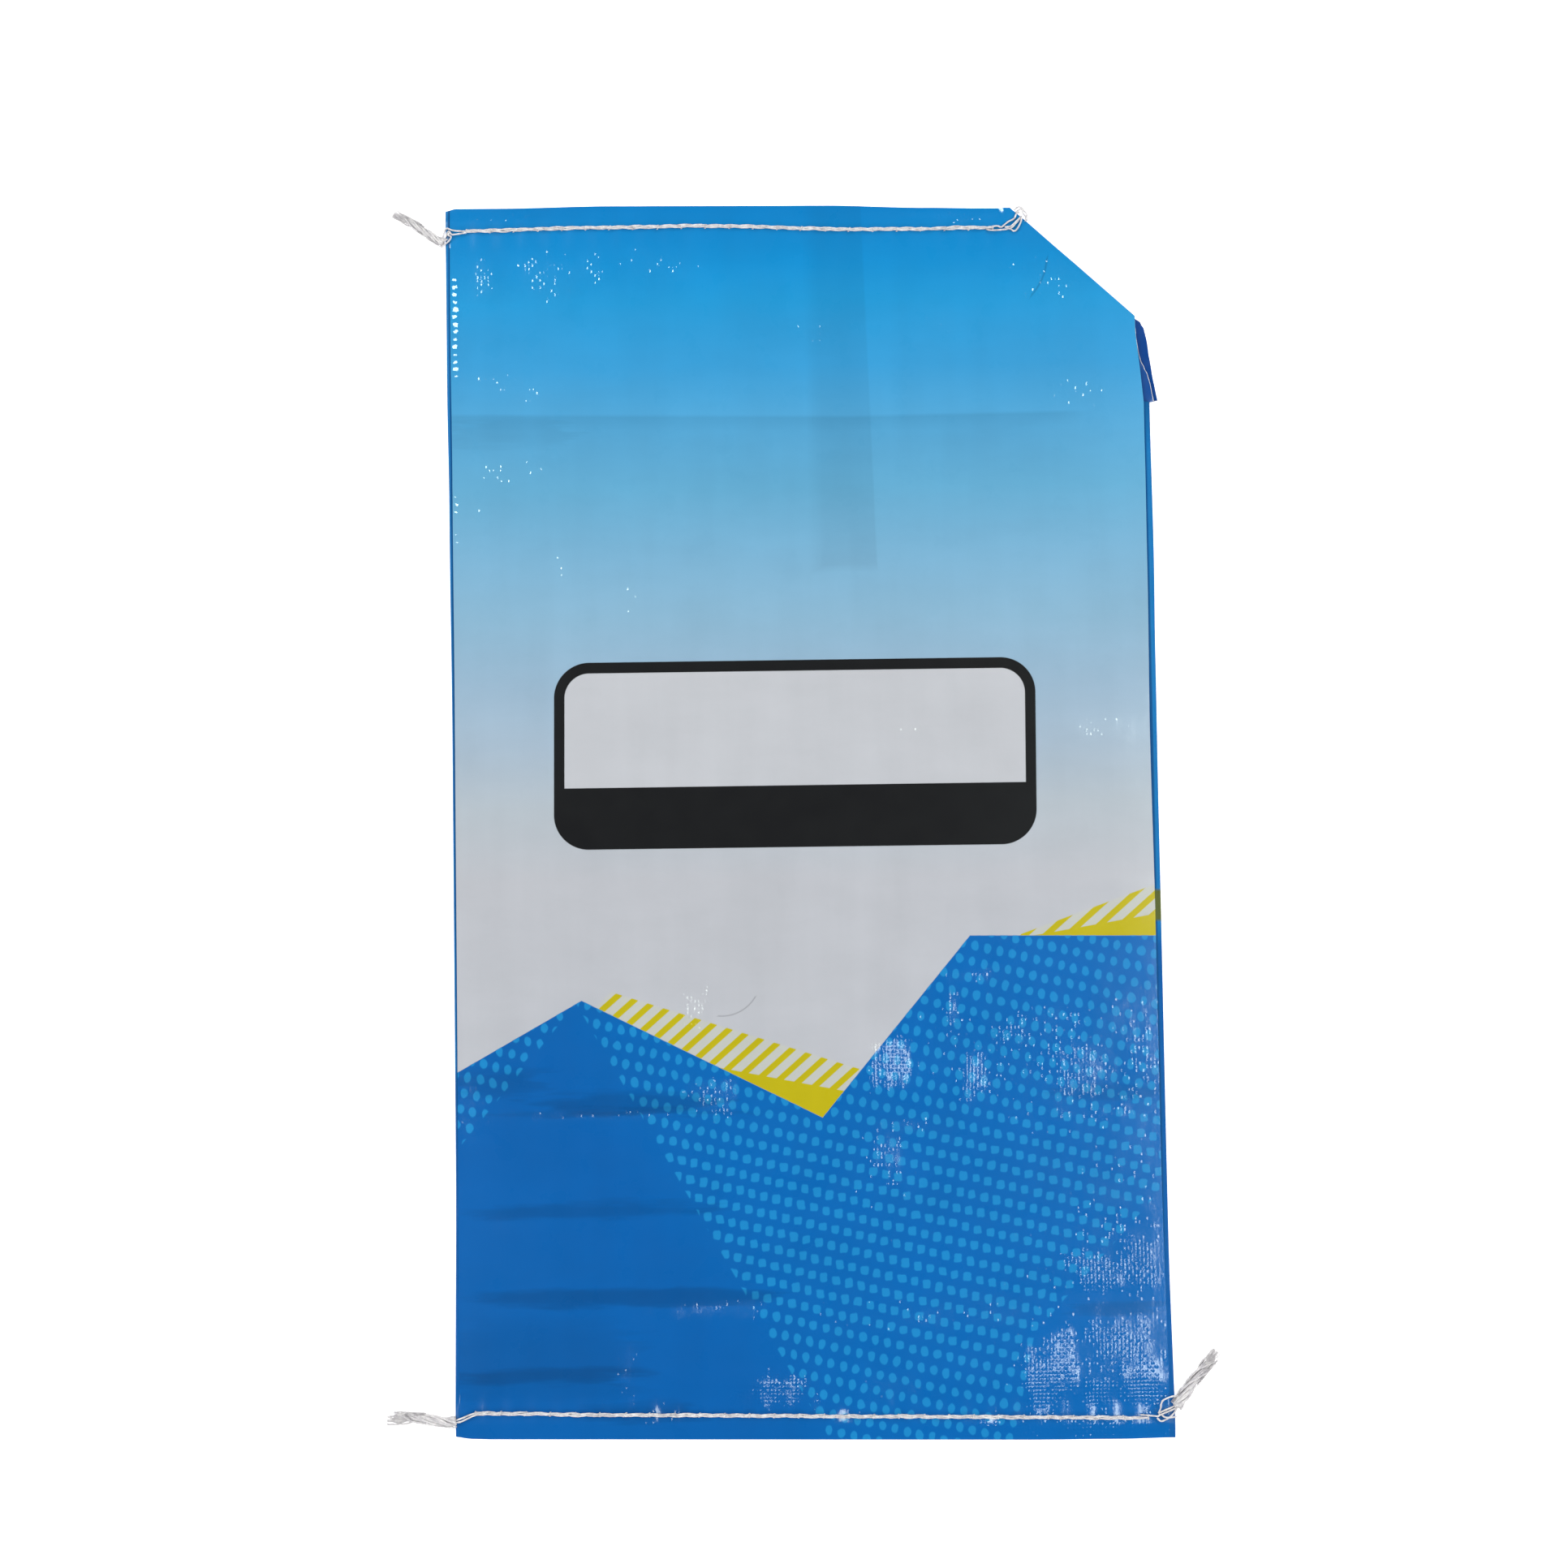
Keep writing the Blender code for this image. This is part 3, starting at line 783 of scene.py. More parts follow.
    def dots(self, drawing: Drawing) -> Node:
        """The halftone dots, in the two areas where the field has them: ovals above and squares below.

        Args:
            drawing: The film's places.

        Returns:
            The shape.
        """
        tree = drawing.tree
        (ax, ay), (bx, by) = self.dot_across, self.dot_down
        scale = 1 / (ax * by - ay * bx)
        warp = add_node(tree, "TexNoise", {"Vector": drawing.place, "Scale": 0.13, "Detail": 2.0})
        bent = drawing.moved(warp, (2.6, 2.6, 0.0)).place
        away = add_node(tree, "VectorMath SUBTRACT", (bent, (*self.dot_start, 0.0)))
        offsets = []
        for way, step in (((by, -bx, 0.0), (ax, ay, 0.0)), ((-ay, ax, 0.0), (bx, by, 0.0))):
            way = tuple(part * scale for part in way)
            share = add_node(tree, "VectorMath DOT_PRODUCT", (away, way))
            share = add_node(tree, "Math WRAP", (share, 0.5, -0.5))
            spread = add_node(tree, "CombineXYZ", (share, share, share))
            offsets.append(add_node(tree, "VectorMath MULTIPLY", (spread, step)))
        local = Drawing(tree, add_node(tree, "VectorMath ADD", offsets))
        square = local.rounded(*self.square)
        oval = local.length(local.place, (1 / self.oval[0], 1 / self.oval[1], 0.0))
        oval = add_node(tree, "Math MULTIPLY_ADD", (oval, -2.4, 2.4))
        below = drawing.line((60.0, -176.0), (-60.0, -186.0))
        above = drawing.line((-60.0, -268.0), (60.0, -300.0))
        squares = drawing.mask(drawing.all_of(below, above), 24.0)
        dot = add_node(tree, "Mix", (squares, oval, square), data_type="FLOAT")
        right_end = drawing.any_of(
            drawing.line((126.0, -290.0), (184.0, -227.0)),
            drawing.line((111.0, -351.8), (124.0, -290.6)),
        )
        main = drawing.all_of(drawing.line(*self.dots_left_end), right_end)
        left = drawing.line((-192.8, -178.5), (-140.3, -115.7))
        return drawing.all_of(dot, drawing.any_of(main, left))

    def yellow_shapes(self, drawing: Drawing, fall: Node, rise: Node, flat: Node) -> tuple[Node, Node]:
        """The yellow hatching and wedges along the field.

        Args:
            drawing: The film's places.
            fall: What is below the field's falling edge.
            rise: What is below its rising edge.
            flat: What is below its level edge.

        Returns:
            What is yellow, and the hatched areas with the pale gaps between their stripes.
        """
        over = [add_node(drawing.tree, "Math MULTIPLY", (edge, -1.0)) for edge in (fall, rise, flat)]
        tops = drawing.line((18.5, -140.9), (-109.8, -99.2))
        first = drawing.line((-110.5, -98.0), (-121.5, -109.0))
        hatch = drawing.all_of(over[0], over[1], tops, first)
        stripes = add_node(drawing.tree, "Math SMOOTH_MIN", (hatch, self.stripes(drawing, 45.0), 1.2))
        wedge = drawing.all_of(over[0], over[1], drawing.line((17.8, -155.9), (-51.9, -141.9)))
        right_hatch = drawing.all_of(over[2], drawing.line((191.2, -44.6), (125.8, -67.7)))
        right_stripes = drawing.all_of(right_hatch, self.stripes(drawing, 240.0))
        right_wedge = drawing.all_of(over[2], drawing.line((192.0, -60.0), (136.8, -68.9)))
        yellow = drawing.any_of(stripes, wedge, right_stripes, right_wedge)
        return yellow, drawing.any_of(hatch, right_hatch)

    def label(self, drawing: Drawing, paint: Node) -> Node:
        """Lays the framed white field and its black bar over the print.

        Args:
            drawing: The film's places.
            paint: The print's colour so far.

        Returns:
            The print's colour with the label.
        """
        tree = drawing.tree
        parts = add_node(tree, "SeparateXYZ", (drawing.place,))
        x, y = parts.outputs["X"], parts.outputs["Y"]
        upright = add_node(tree, "Math MULTIPLY_ADD", (y, self.label_lean[0], x))
        level = add_node(tree, "Math MULTIPLY_ADD", (x, self.label_lean[1], y))
        squared = Drawing(tree, add_node(tree, "CombineXYZ", (upright, level, 0.0)))
        window = squared.all_of(squared.rounded(*self.window), squared.line(*self.bar_top))
        paint = drawing.lay(paint, self.label_black, drawing.mask(squared.rounded(*self.frame)))
        return drawing.lay(paint, self.label_white, drawing.mask(window))

    def colour(self, drawing: Drawing) -> Node:
        """The whole print.

        Args:
            drawing: The film's places.

        Returns:
            The colour.
        """
        corners = (self.right_foot, self.shoulder, self.valley, self.peak, self.left_foot)
        flat, rise, fall, left = (drawing.line(a, b) for a, b in zip(corners, corners[1:]))
        field = drawing.any_of(drawing.all_of(left, fall), drawing.all_of(rise, flat))
        yellow, hatched = self.yellow_shapes(drawing, fall, rise, flat)
        paint = drawing.lay(self.sky(drawing), self.yellow_gap, drawing.mask(hatched, 1.5))
        paint = drawing.lay(paint, self.yellow, drawing.mask(yellow))
        dotted = drawing.mask(drawing.line(*self.dots_left_end), 60.0)
        ink = drawing.lay(hex_colour(self.field), self.field_dotted, dotted)
        paint = drawing.lay(paint, ink, drawing.mask(field))
        dots = drawing.all_of(field, self.dots(drawing))
        paint = drawing.lay(paint, self.dot, drawing.mask(dots, 0.7))
        return self.label(drawing, paint)

    def shade(self, drawing: Drawing) -> Node:
        """How the seam behind darkens the print where it shows through, and the painted shade of the fold
        step near the top, of the uneven light, of the fold bands and of a curved crease, and a thin dark arc.

        Args:
            drawing: The film's places.

        Returns:
            The share of the print's colour that is left.
        """
        tree = drawing.tree
        seam = drawing.all_of(
            drawing.mask(drawing.line((43.1, 140.0), (37.5, 335.0)), 1.2),
            drawing.mask(drawing.line((7.8, 335.0), (8.4, 140.0)), 9.0),
            drawing.mask(drawing.line((0.0, 139.6), (50.0, 141.0)), 5.0),
        )
        shade = add_node(tree, "Math MULTIPLY_ADD", (seam, -self.seam_depth, 1.0))
        # Painted shade below the fold step near the top, left of x 158, fading downwards
        fold_step_edge = drawing.any_of(
            drawing.line((183.5, 229.0), (30.3, 227.8)), drawing.line((30.3, 227.8), (-178.9, 231.8))
        )
        fold_step_end = drawing.mask(drawing.beyond(158.0, -1), 22.0)
        flap = add_node(tree, "Math MULTIPLY", (drawing.mask(fold_step_edge, 2.0), fold_step_end))
        for reach in (90.0, 9.0):
            fading = add_node(tree, "MapRange", (fold_step_edge, 0.0, reach, 1.0, 0.0))
            fading = add_node(tree, "Math MULTIPLY", (flap, fading))
            shade = add_node(tree, "Math MULTIPLY_ADD", (fading, -self.fold_step_shade, shade))
        for waves, detail, roughness, depth in self.clouds:
            off = add_node(tree, "Math SUBTRACT", (drawing.streaks(waves, detail, roughness), 0.5))
            shade = add_node(tree, "Math MULTIPLY_ADD", (off, depth, shade))
        torn = drawing.moved(drawing.streaks((0.02, 0.16, 0.0), 3.0, 0.6), (90.0, 12.0, 0.0)).place
        for y, half, start, end, depth in self.bands:
            away = add_node(tree, "VectorMath SUBTRACT", (torn, ((start + end) / 2, y, 0.0)))
            away = add_node(tree, "VectorMath MULTIPLY", (away, (2 / (end - start), 1 / half, 1.0)))
            away = add_node(tree, "VectorMath MULTIPLY", (away, away))
            weight = add_node(tree, "VectorMath MULTIPLY_ADD", (away, (1.0, 0.0, 0.0), (0.0, 1.0, 0.0)))
            away = add_node(tree, "VectorMath DOT_PRODUCT", (away, weight))
            band = add_node(tree, "MapRange", (away, 0.0, 1.4, depth, 0.0), interpolation_type="SMOOTHSTEP")
            shade = add_node(tree, "Math SUBTRACT", (shade, band))
        for middle, radius, start, end, half, depth in self.marks:
            away = add_node(tree, "VectorMath SUBTRACT", (drawing.place, (*middle, 0.0)))
            away = add_node(tree, "Math SUBTRACT", (drawing.length(away), radius))
            away = add_node(tree, "Math ABSOLUTE", (away,))
            mark = add_node(tree, "Math SUBTRACT", (half, away))
            mark = drawing.mask(drawing.all_of(mark, drawing.line(start, end)), 0.8)
            shade = add_node(tree, "Math MULTIPLY_ADD", (mark, -depth, shade))
        return shade


@dataclass(frozen=True)
class LaminatedFilm:
    """Gloss polypropylene film, printed on its back and laminated to a plain weave of flat tapes. To the
    eye it is a clear gloss skin that dips between the tapes, so that a lamp breaks up into dashes, over
    ink with a soft sheen that follows only the film's larger crinkles."""

    name: str = "gloss_laminated_printed_film"
    printed: bool = True
    colour: str = "1c70ad"
    low_colour: str = "14599c"
    # The yellow print carried round the right crease, its olive painted darker as in shade. Only film with it
    # gets the painted shade of the folds and the mouth
    spill_in_shade: str = ""
    # Painted shade in the gaps beside the side creases and in the mouth
    fold_shadow_colour: str = "0f4a7e"
    # The facets down the left crease: one to every second tape, where they lie, and their slope
    bead_pitch: float = 4.35
    bead_x: float = -196.9
    bead_slope: float = -0.115
    bead: tuple = ((-1.4, -1.0), (1.4, 1.0), 0.7)
    bead_rows: tuple = (254.5, 312.5)
    small_bead_rows: tuple = (156.0, 192.0)
    gloss: float = 0.10
    sheen: float = 0.30
    coat: float = 1.0
    specular: float = 0.04
    ior: float = 1.50
    tape_height: float = 0.09 * MM
    crinkle_height: float = 0.06 * MM
    streak_height: float = 0.13 * MM
    grain_height: float = 0.045 * MM
    # How much of the tapes' height the ink under the skin follows
    ink_share: float = 0.4
    # Waves to the millimetre: haze in areas of 17 mm, crinkles of 7 mm, streaks 5 mm wide and 22 mm long,
    # and a grain of 0.9 mm
    haze_waves: float = 0.06
    crinkle_waves: float = 0.14
    streak_waves: tuple = (0.20, 0.045, 0.0)
    grain_waves: float = 1.1

    def make(self) -> bpy.types.Material:
        """Makes the film's material.

        Returns:
            The material.
        """
        made, tree, shader = new_material(self.name)
        drawing = in_millimetres(tree)
        haze = add_node(tree, "TexNoise", {"Vector": drawing.place, "Scale": self.haze_waves, "Detail": 5.0})
        sheen = add_node(tree, "MapRange", (haze, 0.3, 0.7, self.sheen - 0.06, self.sheen + 0.08))
        ink, skin = self.surfaces(drawing)
        finish = {
            "Base Color": self.paint(drawing),
            "Roughness": sheen,
            "IOR": self.ior,
            "Specular IOR Level": self.specular,
            "Normal": ink,
            "Coat Weight": self.coat,
            "Coat Roughness": self.gloss,
            "Coat IOR": self.ior,
            "Coat Normal": skin,
        }
        feed(tree, shader, finish)
        return made

    def paint(self, drawing: Drawing) -> Node:
        """The ink's colour, with the print and its painted shade on the front and without the print
        elsewhere.

        Args:
            drawing: The film's places.

        Returns:
            The colour.
        """
        if self.printed:
            return drawing.toned(FrontPrint().colour(drawing), FrontPrint().shade(drawing))
        cloud = add_node(drawing.tree, "TexNoise", {"Vector": drawing.place, "Scale": 0.03, "Detail": 4.0})
        shade = add_node(drawing.tree, "Math MULTIPLY_ADD", (cloud, 0.3, 0.85))
        return drawing.toned(self.plain_colour(drawing), shade)

    def surfaces(self, drawing: Drawing) -> tuple[Node, Node]:
        """The directions that the film's two surfaces face.

        Args:
            drawing: The film's places.

        Returns:
            The ink's direction, and the gloss skin's.
        """
        tree = drawing.tree
        crumple = add_node(tree, "Attribute", attribute_name="crumple").outputs["Fac"]
        worn = add_node(tree, "Math MULTIPLY", (crumple, crumple))
        streaks = add_node(tree, "Math MULTIPLY", (drawing.streaks(self.streak_waves, 3.0, 0.6), worn))
        waves = {"Vector": drawing.place, "Scale": self.crinkle_waves, "Detail": 3.0, "Roughness": 0.55}
        crinkle = add_node(tree, "TexNoise", waves)
        waves = {"Vector": drawing.place, "Scale": self.grain_waves, "Detail": 2.0, "Roughness": 0.6}
        grain = add_node(tree, "Math MULTIPLY", (add_node(tree, "TexNoise", waves), worn))
        tapes = FabricWeave().height(drawing, crumple)
        lean = add_node(tree, "Attribute", attribute_name="lean").outputs["Fac"]
        sideways = add_node(tree, "CombineXYZ", (lean, 0.0, 0.0))
        if self.printed:
            sideways = add_node(tree, "VectorMath ADD", (sideways, self.beads(drawing)))
        flat = add_node(tree, "NewGeometry").outputs["Normal"]
        facing = add_node(tree, "VectorMath ADD", (flat, sideways))
        surfaces = [add_node(tree, "VectorMath NORMALIZE", (facing,))]
        for bumps, height in (
            (crinkle, self.crinkle_height),
            (streaks, self.streak_height),
            (grain, self.grain_height),
            (tapes, self.tape_height),
        ):
            feeds = {"Height": bumps, "Distance": height, "Normal": surfaces[-1], "Strength": 1.0}
            surfaces.append(add_node(tree, "Bump", feeds))
        _, _, streaked, _, skin = surfaces
        feeds |= {"Normal": streaked, "Strength": self.ink_share}
        return add_node(tree, "Bump", feeds), skin

    def beads(self, drawing: Drawing) -> Node:
        """The facets down the left crease, one to every second tape, where the film is rolled over enough
        to face the light.

        Args:
            drawing: The film's places.

        Returns:
            A slope to add to the surface.
        """
        tree = drawing.tree
        parts = add_node(tree, "SeparateXYZ", (drawing.place,))
        along = add_node(tree, "Math FLOORED_MODULO", (parts.outputs["Y"], self.bead_pitch))
        along = add_node(tree, "Math SUBTRACT", (along, self.bead_pitch / 2))
        across = add_node(tree, "Math ADD", (parts.outputs["X"], -self.bead_x))
        local = Drawing(tree, add_node(tree, "CombineXYZ", (across, along, 0.0)))
        wander = add_node(tree, "TexNoise", {"Vector": drawing.place, "Scale": 0.5, "Detail": 1.0})
        bead = local.moved(wander, (2.4, 2.0, 0.0)).rounded(*self.bead)
        uneven = add_node(tree, "TexNoise", {"Vector": drawing.place, "Scale": 0.19, "Detail": 1.0})
        bead = add_node(tree, "Math MULTIPLY_ADD", (uneven, 1.9, bead))
        smaller = add_node(tree, "MapRange", (parts.outputs["Y"], 310.0, 256.0, 0.85, 1.30))
        bead = add_node(tree, "Math SUBTRACT", (bead, smaller))
        small = add_node(tree, "Math SUBTRACT", (bead, 0.45))
        beads = drawing.any_of(
            drawing.all_of(bead, drawing.rows(*self.bead_rows)),
            drawing.all_of(small, drawing.rows(*self.small_bead_rows)),
        )
        slope = add_node(tree, "Math MULTIPLY", (drawing.mask(beads, 0.25), self.bead_slope))
        return add_node(tree, "CombineXYZ", (slope, 0.0, 0.0))

    def plain_colour(self, drawing: Drawing) -> Node:
        """The unprinted film of the back and the folds: lighter blue above and deeper blue at the foot,
        painted shade in the gaps beside the side creases and in the mouth, and the end of the yellow
        hatching carried round the right crease, painted darker as in shade.

        Args:
            drawing: The film's places.

        Returns:
            The colour.
        """
        up = drawing.line((-198.0, -142.4), (197.0, -71.5))
        paint = drawing.lay(hex_colour(self.low_colour), self.colour, drawing.mask(up, 12.0))
        if not self.spill_in_shade:
            return paint
        # Painted shade in the gaps beside both side creases
        right = drawing.all_of(drawing.line((197.7, -100.0), (198.1, 200.0)), drawing.beyond(190.0))
        left = drawing.all_of(drawing.line((-200.4, 285.0), (-199.4, -110.0)), drawing.beyond(-190.0, -1))
        paint = drawing.lay(paint, self.fold_shadow_colour, drawing.mask(drawing.any_of(right, left), 1.0))
        # Painted shade in the mouth
        mouth = drawing.all_of(drawing.beyond(190.0), drawing.line((200.0, 226.0), (201.0, 226.0)))
        paint = drawing.lay(paint, self.fold_shadow_colour, drawing.mask(mouth, 36.0))
        # The yellow print round the right crease, painted darker as in shade
        end = drawing.all_of(drawing.beyond(196.0), drawing.rows(-63.0, -45.5))
        return drawing.lay(paint, self.spill_in_shade, drawing.mask(end, 1.6))


@dataclass(frozen=True)
class BareWeave:
    """Unprinted woven polypropylene tape, as extruded and drawn: milky, slightly shiny, with the tapes'
    own steps standing out and painted shade in the hollows between them. It is the sack's inside and its cut
    edges."""

    name: str = "bare_woven_polypropylene"
    colour: str = "d6d8da"
    roughness: float = 0.45
    tape_height: float = 0.12 * MM

    def make(self) -> bpy.types.Material:
        """Makes the bare fabric's material.

        Returns:
            The material.
        """
        made, tree, shader = new_material(self.name)
        drawing = in_millimetres(tree)
        tapes = FabricWeave().height(drawing)
        # Painted shade: the lower the weave, the darker it is
        grey = add_node(tree, "MapRange", (tapes, 0.0, 0.8, 0.72, 1.0))
        bump = add_node(tree, "Bump", {"Height": tapes, "Distance": self.tape_height, "Strength": 1.0})
        paint = drawing.toned(hex_colour(self.colour), grey)
        feed(tree, shader, {"Base Color": paint, "Roughness": self.roughness, "Normal": bump})
        return made


@dataclass(frozen=True)
class SpunThread:
    """Undyed polyester sewing thread, spun and plied: dull white, with a fine slanting grain where its
    plies lie, and a grey mixed in by noise, painted shade that stands in for the shade down between them."""

    name: str = "spun_polyester_thread"
    light: str = "e8e6e5"
    # Painted shade: the grey that stands in for the shade between the plies
    dark: str = "b0adb2"
    roughness: float = 0.72
    sheen: float = 0.25
    fibre_height: float = 0.10 * MM
    # Waves to the millimetre: fibres of 0.3 mm, and the painted shade's mottle over 3 mm
    fibre_waves: float = 3.2
    mottle_waves: float = 0.3

    def make(self) -> bpy.types.Material:
        """Makes the thread's material.

        Returns:
            The material.
        """
        made, tree, shader = new_material(self.name)
        place = in_millimetres(tree).place
        waves = {"Vector": place, "Scale": self.fibre_waves, "Detail": 4.0, "Roughness": 0.7}
        fibres = add_node(tree, "TexNoise", waves)
        mottle = add_node(tree, "TexNoise", {"Vector": place, "Scale": self.mottle_waves, "Detail": 2.0})
        # Where the painted grey shade falls
        share = add_node(tree, "Math MULTIPLY", (fibres, mottle))
        share = add_node(tree, "MapRange", (share, 0.12, 0.36, 0.0, 1.0))
        inks = (share, hex_colour(self.dark), hex_colour(self.light))
        bumps = {"Height": fibres, "Distance": self.fibre_height, "Strength": 1.0}
        finish = {
            "Base Color": add_node(tree, "Mix", inks, data_type="RGBA"),
            "Roughness": self.roughness,
            "Sheen Weight": self.sheen,
            "Normal": add_node(tree, "Bump", bumps),
        }
        feed(tree, shader, finish)
        return made


# The sack


@dataclass
class SackBody:
    """The tube of laminated fabric: two panels, two side folds and the tucked corner, in one sheet."""

    relief: Relief
    # The mesh's steps across, along, beside the left crease and at the cut ends, and the last two's widths
    column_pitch: float = 0.0031
    row_pitch: float = 0.0030
    edge_pitch: float = 0.0008
    end_pitch: float = 0.0016
    edge_band: float = 0.004
    end_band: float = 0.026
    # From this x the columns spread out to the right edge. The back has fewer, up to it and past it
    spread_x: float = 0.113
    spread_columns: int = 26
    back_columns: int = 14
    back_spread_columns: int = 5
    # The mouth's edge: row, x of the front panel's edge, x of the back panel's
    mouth: tuple = ((0.2573, 0.1953, 0.1996), (0.2761, 0.1933, 0.1976))
    # Where the creases and the outer edges run, as y and x in millimetres
    left_crease: tuple = ((-314, -198.9), (-110, -198.5), (51, -198.6), (191, -199.0), (285, -199.6))
    left_out: tuple = (
        (-343, -201.1), (-199, -200.0), (40, -200.2), (172, -201.0), (252, -201.8), (351, -202.0),
    )  # fmt: skip
    right_crease: tuple = (
        (-320, 197.9), (-184, 196.6), (-61, 196.7), (45, 196.1), (138, 196.9), (203, 197.1),
    )  # fmt: skip
    right_out: tuple = ((-349, 201.1), (-236, 199.8), (1, 200.1), (91, 200.4), (152, 200.9), (232, 200.5))
    # How far the cut ends stray from straight, as x and the distance along Y in millimetres
    top_bow: tuple = ((-202, -1.4), (-196, 0.0), (-176, 0.1), (-106, 1.4), (16, 1.4), (75, 0.0), (105, -0.4))
    bottom_bow: tuple = ((-202, 1.4), (-192, 0.2), (-180, 0.0), (120, 0.0), (170, 0.5), (201, 1.3))
    bow_reach: float = 0.009
    mouth_row_pitch: float = 0.0022
    # Shares of the way to the tucked corner's fold where its last columns are
    last_columns: tuple = (0.972, 0.981, 0.990, 1.0)
    # What a stitch does to the film: how far it reaches, and its dimple's depth and radius
    stitch_reach: float = 0.030
    dimple: tuple = (0.00022, 0.0016)
    # The gathers beside the seam: depth, how far off and how wide, and their shares inside and outside
    gather: tuple = (0.00010, 0.006, 0.004)
    gather_shares: tuple = (1.4, 0.8)
    # Where the relief dies away: what is left at the side creases and how soon it is back, how far from the
    # cut ends, and how much of it the tucked corner takes, between these x and these y
    side_calm: tuple = (0.2, 0.036)
    end_calm: tuple = (0.018, 0.040)
    corner_calm: tuple = (0.8, (0.085, 0.13), (0.24, 0.29))
    # The unevenness of the cut ends and of the side folds: height and length
    lip: tuple = (0.00012, 0.008)
    fold_wobble: tuple = (0.00018, 0.018)
    # Where a side fold turns, as shares of its width and of its height
    fold_turn: tuple = (0.62, 0.45)
    tuck_round: float = 0.00016
    # The rim at the mouth's foot that shows the film: from this x, and within this distance
    film_rim: tuple = (0.18, 0.008)
    sharp_fold: float = 12.0

    def run(self, line: tuple, row: float) -> float:
        """X of a crease or an outer edge on a row, in metres."""
        return eased(line, row / MM) * MM

    def place_y(self, row: float, x: float) -> float:
        """Y of a place on a row, with the cut ends' own wander."""
        bow = eased(self.top_bow if row > 0 else self.bottom_bow, x / MM) * MM
        return skewed(row, x) + bow * (1 - smooth(0.0, self.bow_reach, HALF_LENGTH - abs(row)))

    @property
    def tuck_row(self) -> float:
        """The row through the lower end of the tucked corner's fold."""
        return TUCK_SIDE.y + END_SKEW * TUCK_SIDE.x

    def rows(self) -> list[float]:
        """The rows of the mesh from the bottom end to the top end, closer together at the seams.

        Returns:
            Each row's y at the sack's middle.
        """
        ends = (
            (-HALF_LENGTH, self.end_band - HALF_LENGTH, self.end_pitch),
            (self.end_band - HALF_LENGTH, MOUTH_FOOT_Y, self.row_pitch),
            (MOUTH_FOOT_Y, self.tuck_row, self.mouth_row_pitch),
            (self.tuck_row, HALF_LENGTH - self.end_band, self.row_pitch),
            (HALF_LENGTH - self.end_band, HALF_LENGTH, self.end_pitch),
        )
        return [row for low, high, pitch in ends for row in steps(low, high, pitch)] + [HALF_LENGTH]

    def panel_heights(self, row: float) -> tuple[float, float]:
        """Heights of the back and front panels along a row, away from the tucked corner.

        Args:
            row: The row.

        Returns:
            The back panel's height and the front panel's.
        """
        inset = HALF_LENGTH - abs(row)
        band = TOP_BAND_INSET if row > 0 else BOTTOM_BAND_INSET
        near, far = band - SEAM_HALF_BAND, band + SEAM_HALF_BAND
        back = ((0.0, BACK_END), (near, BACK_SEWN), (far, BACK_SEWN), (far + SEAM_EASE, BACK_FLAT))
        front = ((0.0, FRONT_END), (near, FRONT_SEWN), (far, FRONT_SEWN), (far + SEAM_EASE, FRONT_FLAT))
        return eased(back, inset), eased(front, inset)

    def heights(self, row: float, x: float) -> tuple[float, float]:
        """Heights of the back and front panels at a place.

        Args:
            row: The place's row.
            x: Its x.

        Returns:
            The back panel's height and the front panel's.
        """
        back, front = self.panel_heights(row)
        if row < self.tuck_row - HAIR:
            return back, front
        share = smooth(PINCH_END_X, TUCK_EASE_X, x)
        return between(back, min(back, BACK_CORNER), share), between(front, max(front, FRONT_CORNER), share)

    def right_edges(self, row: float) -> tuple[float, float]:
        """X of the back panel's and the front panel's right edge on a row.

        Args:
            row: The row.

        Returns:
            The back panel's x and the front panel's.
        """
        if row >= self.tuck_row - HAIR:
            return tuck_x(row), tuck_x(row)
        if row <= MOUTH_FOOT_Y:
            return self.run(self.right_out, row), self.run(self.right_crease, row)
        foot = [self.run(line, MOUTH_FOOT_Y) for line in (self.right_crease, self.right_out)]
        stops = ((MOUTH_FOOT_Y, *foot), *self.mouth, (self.tuck_row, TUCK_SIDE.x, TUCK_SIDE.x))
        for (low, front, back), (high, next_front, next_back) in zip(stops, stops[1:]):
            if row <= high:
                share = (row - low) / (high - low)
                return between(back, next_back, share), between(front, next_front, share)
        return stops[-1][2], stops[-1][1]

    def puckers(self, x: float, y: float) -> float:
        """How the stitches gather the film, in metres.

        Args:
            x: The place's x.
            y: Its y.

        Returns:
            What they add to the film's height.
        """
        total = 0.0
        depth, radius = self.dimple
        gather, offset, width = self.gather
        inside, outside = self.gather_shares
        for seam, span, end in ((TOP_SEAM, TOP_HOLES, End.TOP), (BOTTOM_SEAM, BOTTOM_HOLES, End.BOTTOM)):
            away = (y - seam_y(seam, end, x)) * end.value
            if abs(away) > self.stitch_reach:
                continue
            count = round((span[1] - span[0]) / STITCH)
            share = (x - span[0]) / (span[1] - span[0]) * count
            if not -0.5 < share < count + 0.5:
                continue
            nearest = (share - round(share)) * STITCH
            total -= depth * math.exp(-(nearest**2 + away**2) / (2 * radius**2))
            fade = smooth(-0.5, 0.1, share) * smooth(-0.5, 0.1, count - share)
            wave = math.cos(2 * math.pi * share) * math.exp(-((abs(away) - offset) ** 2) / (2 * width**2))
            total -= gather * wave * fade * (inside if away < 0 else outside)
        return total

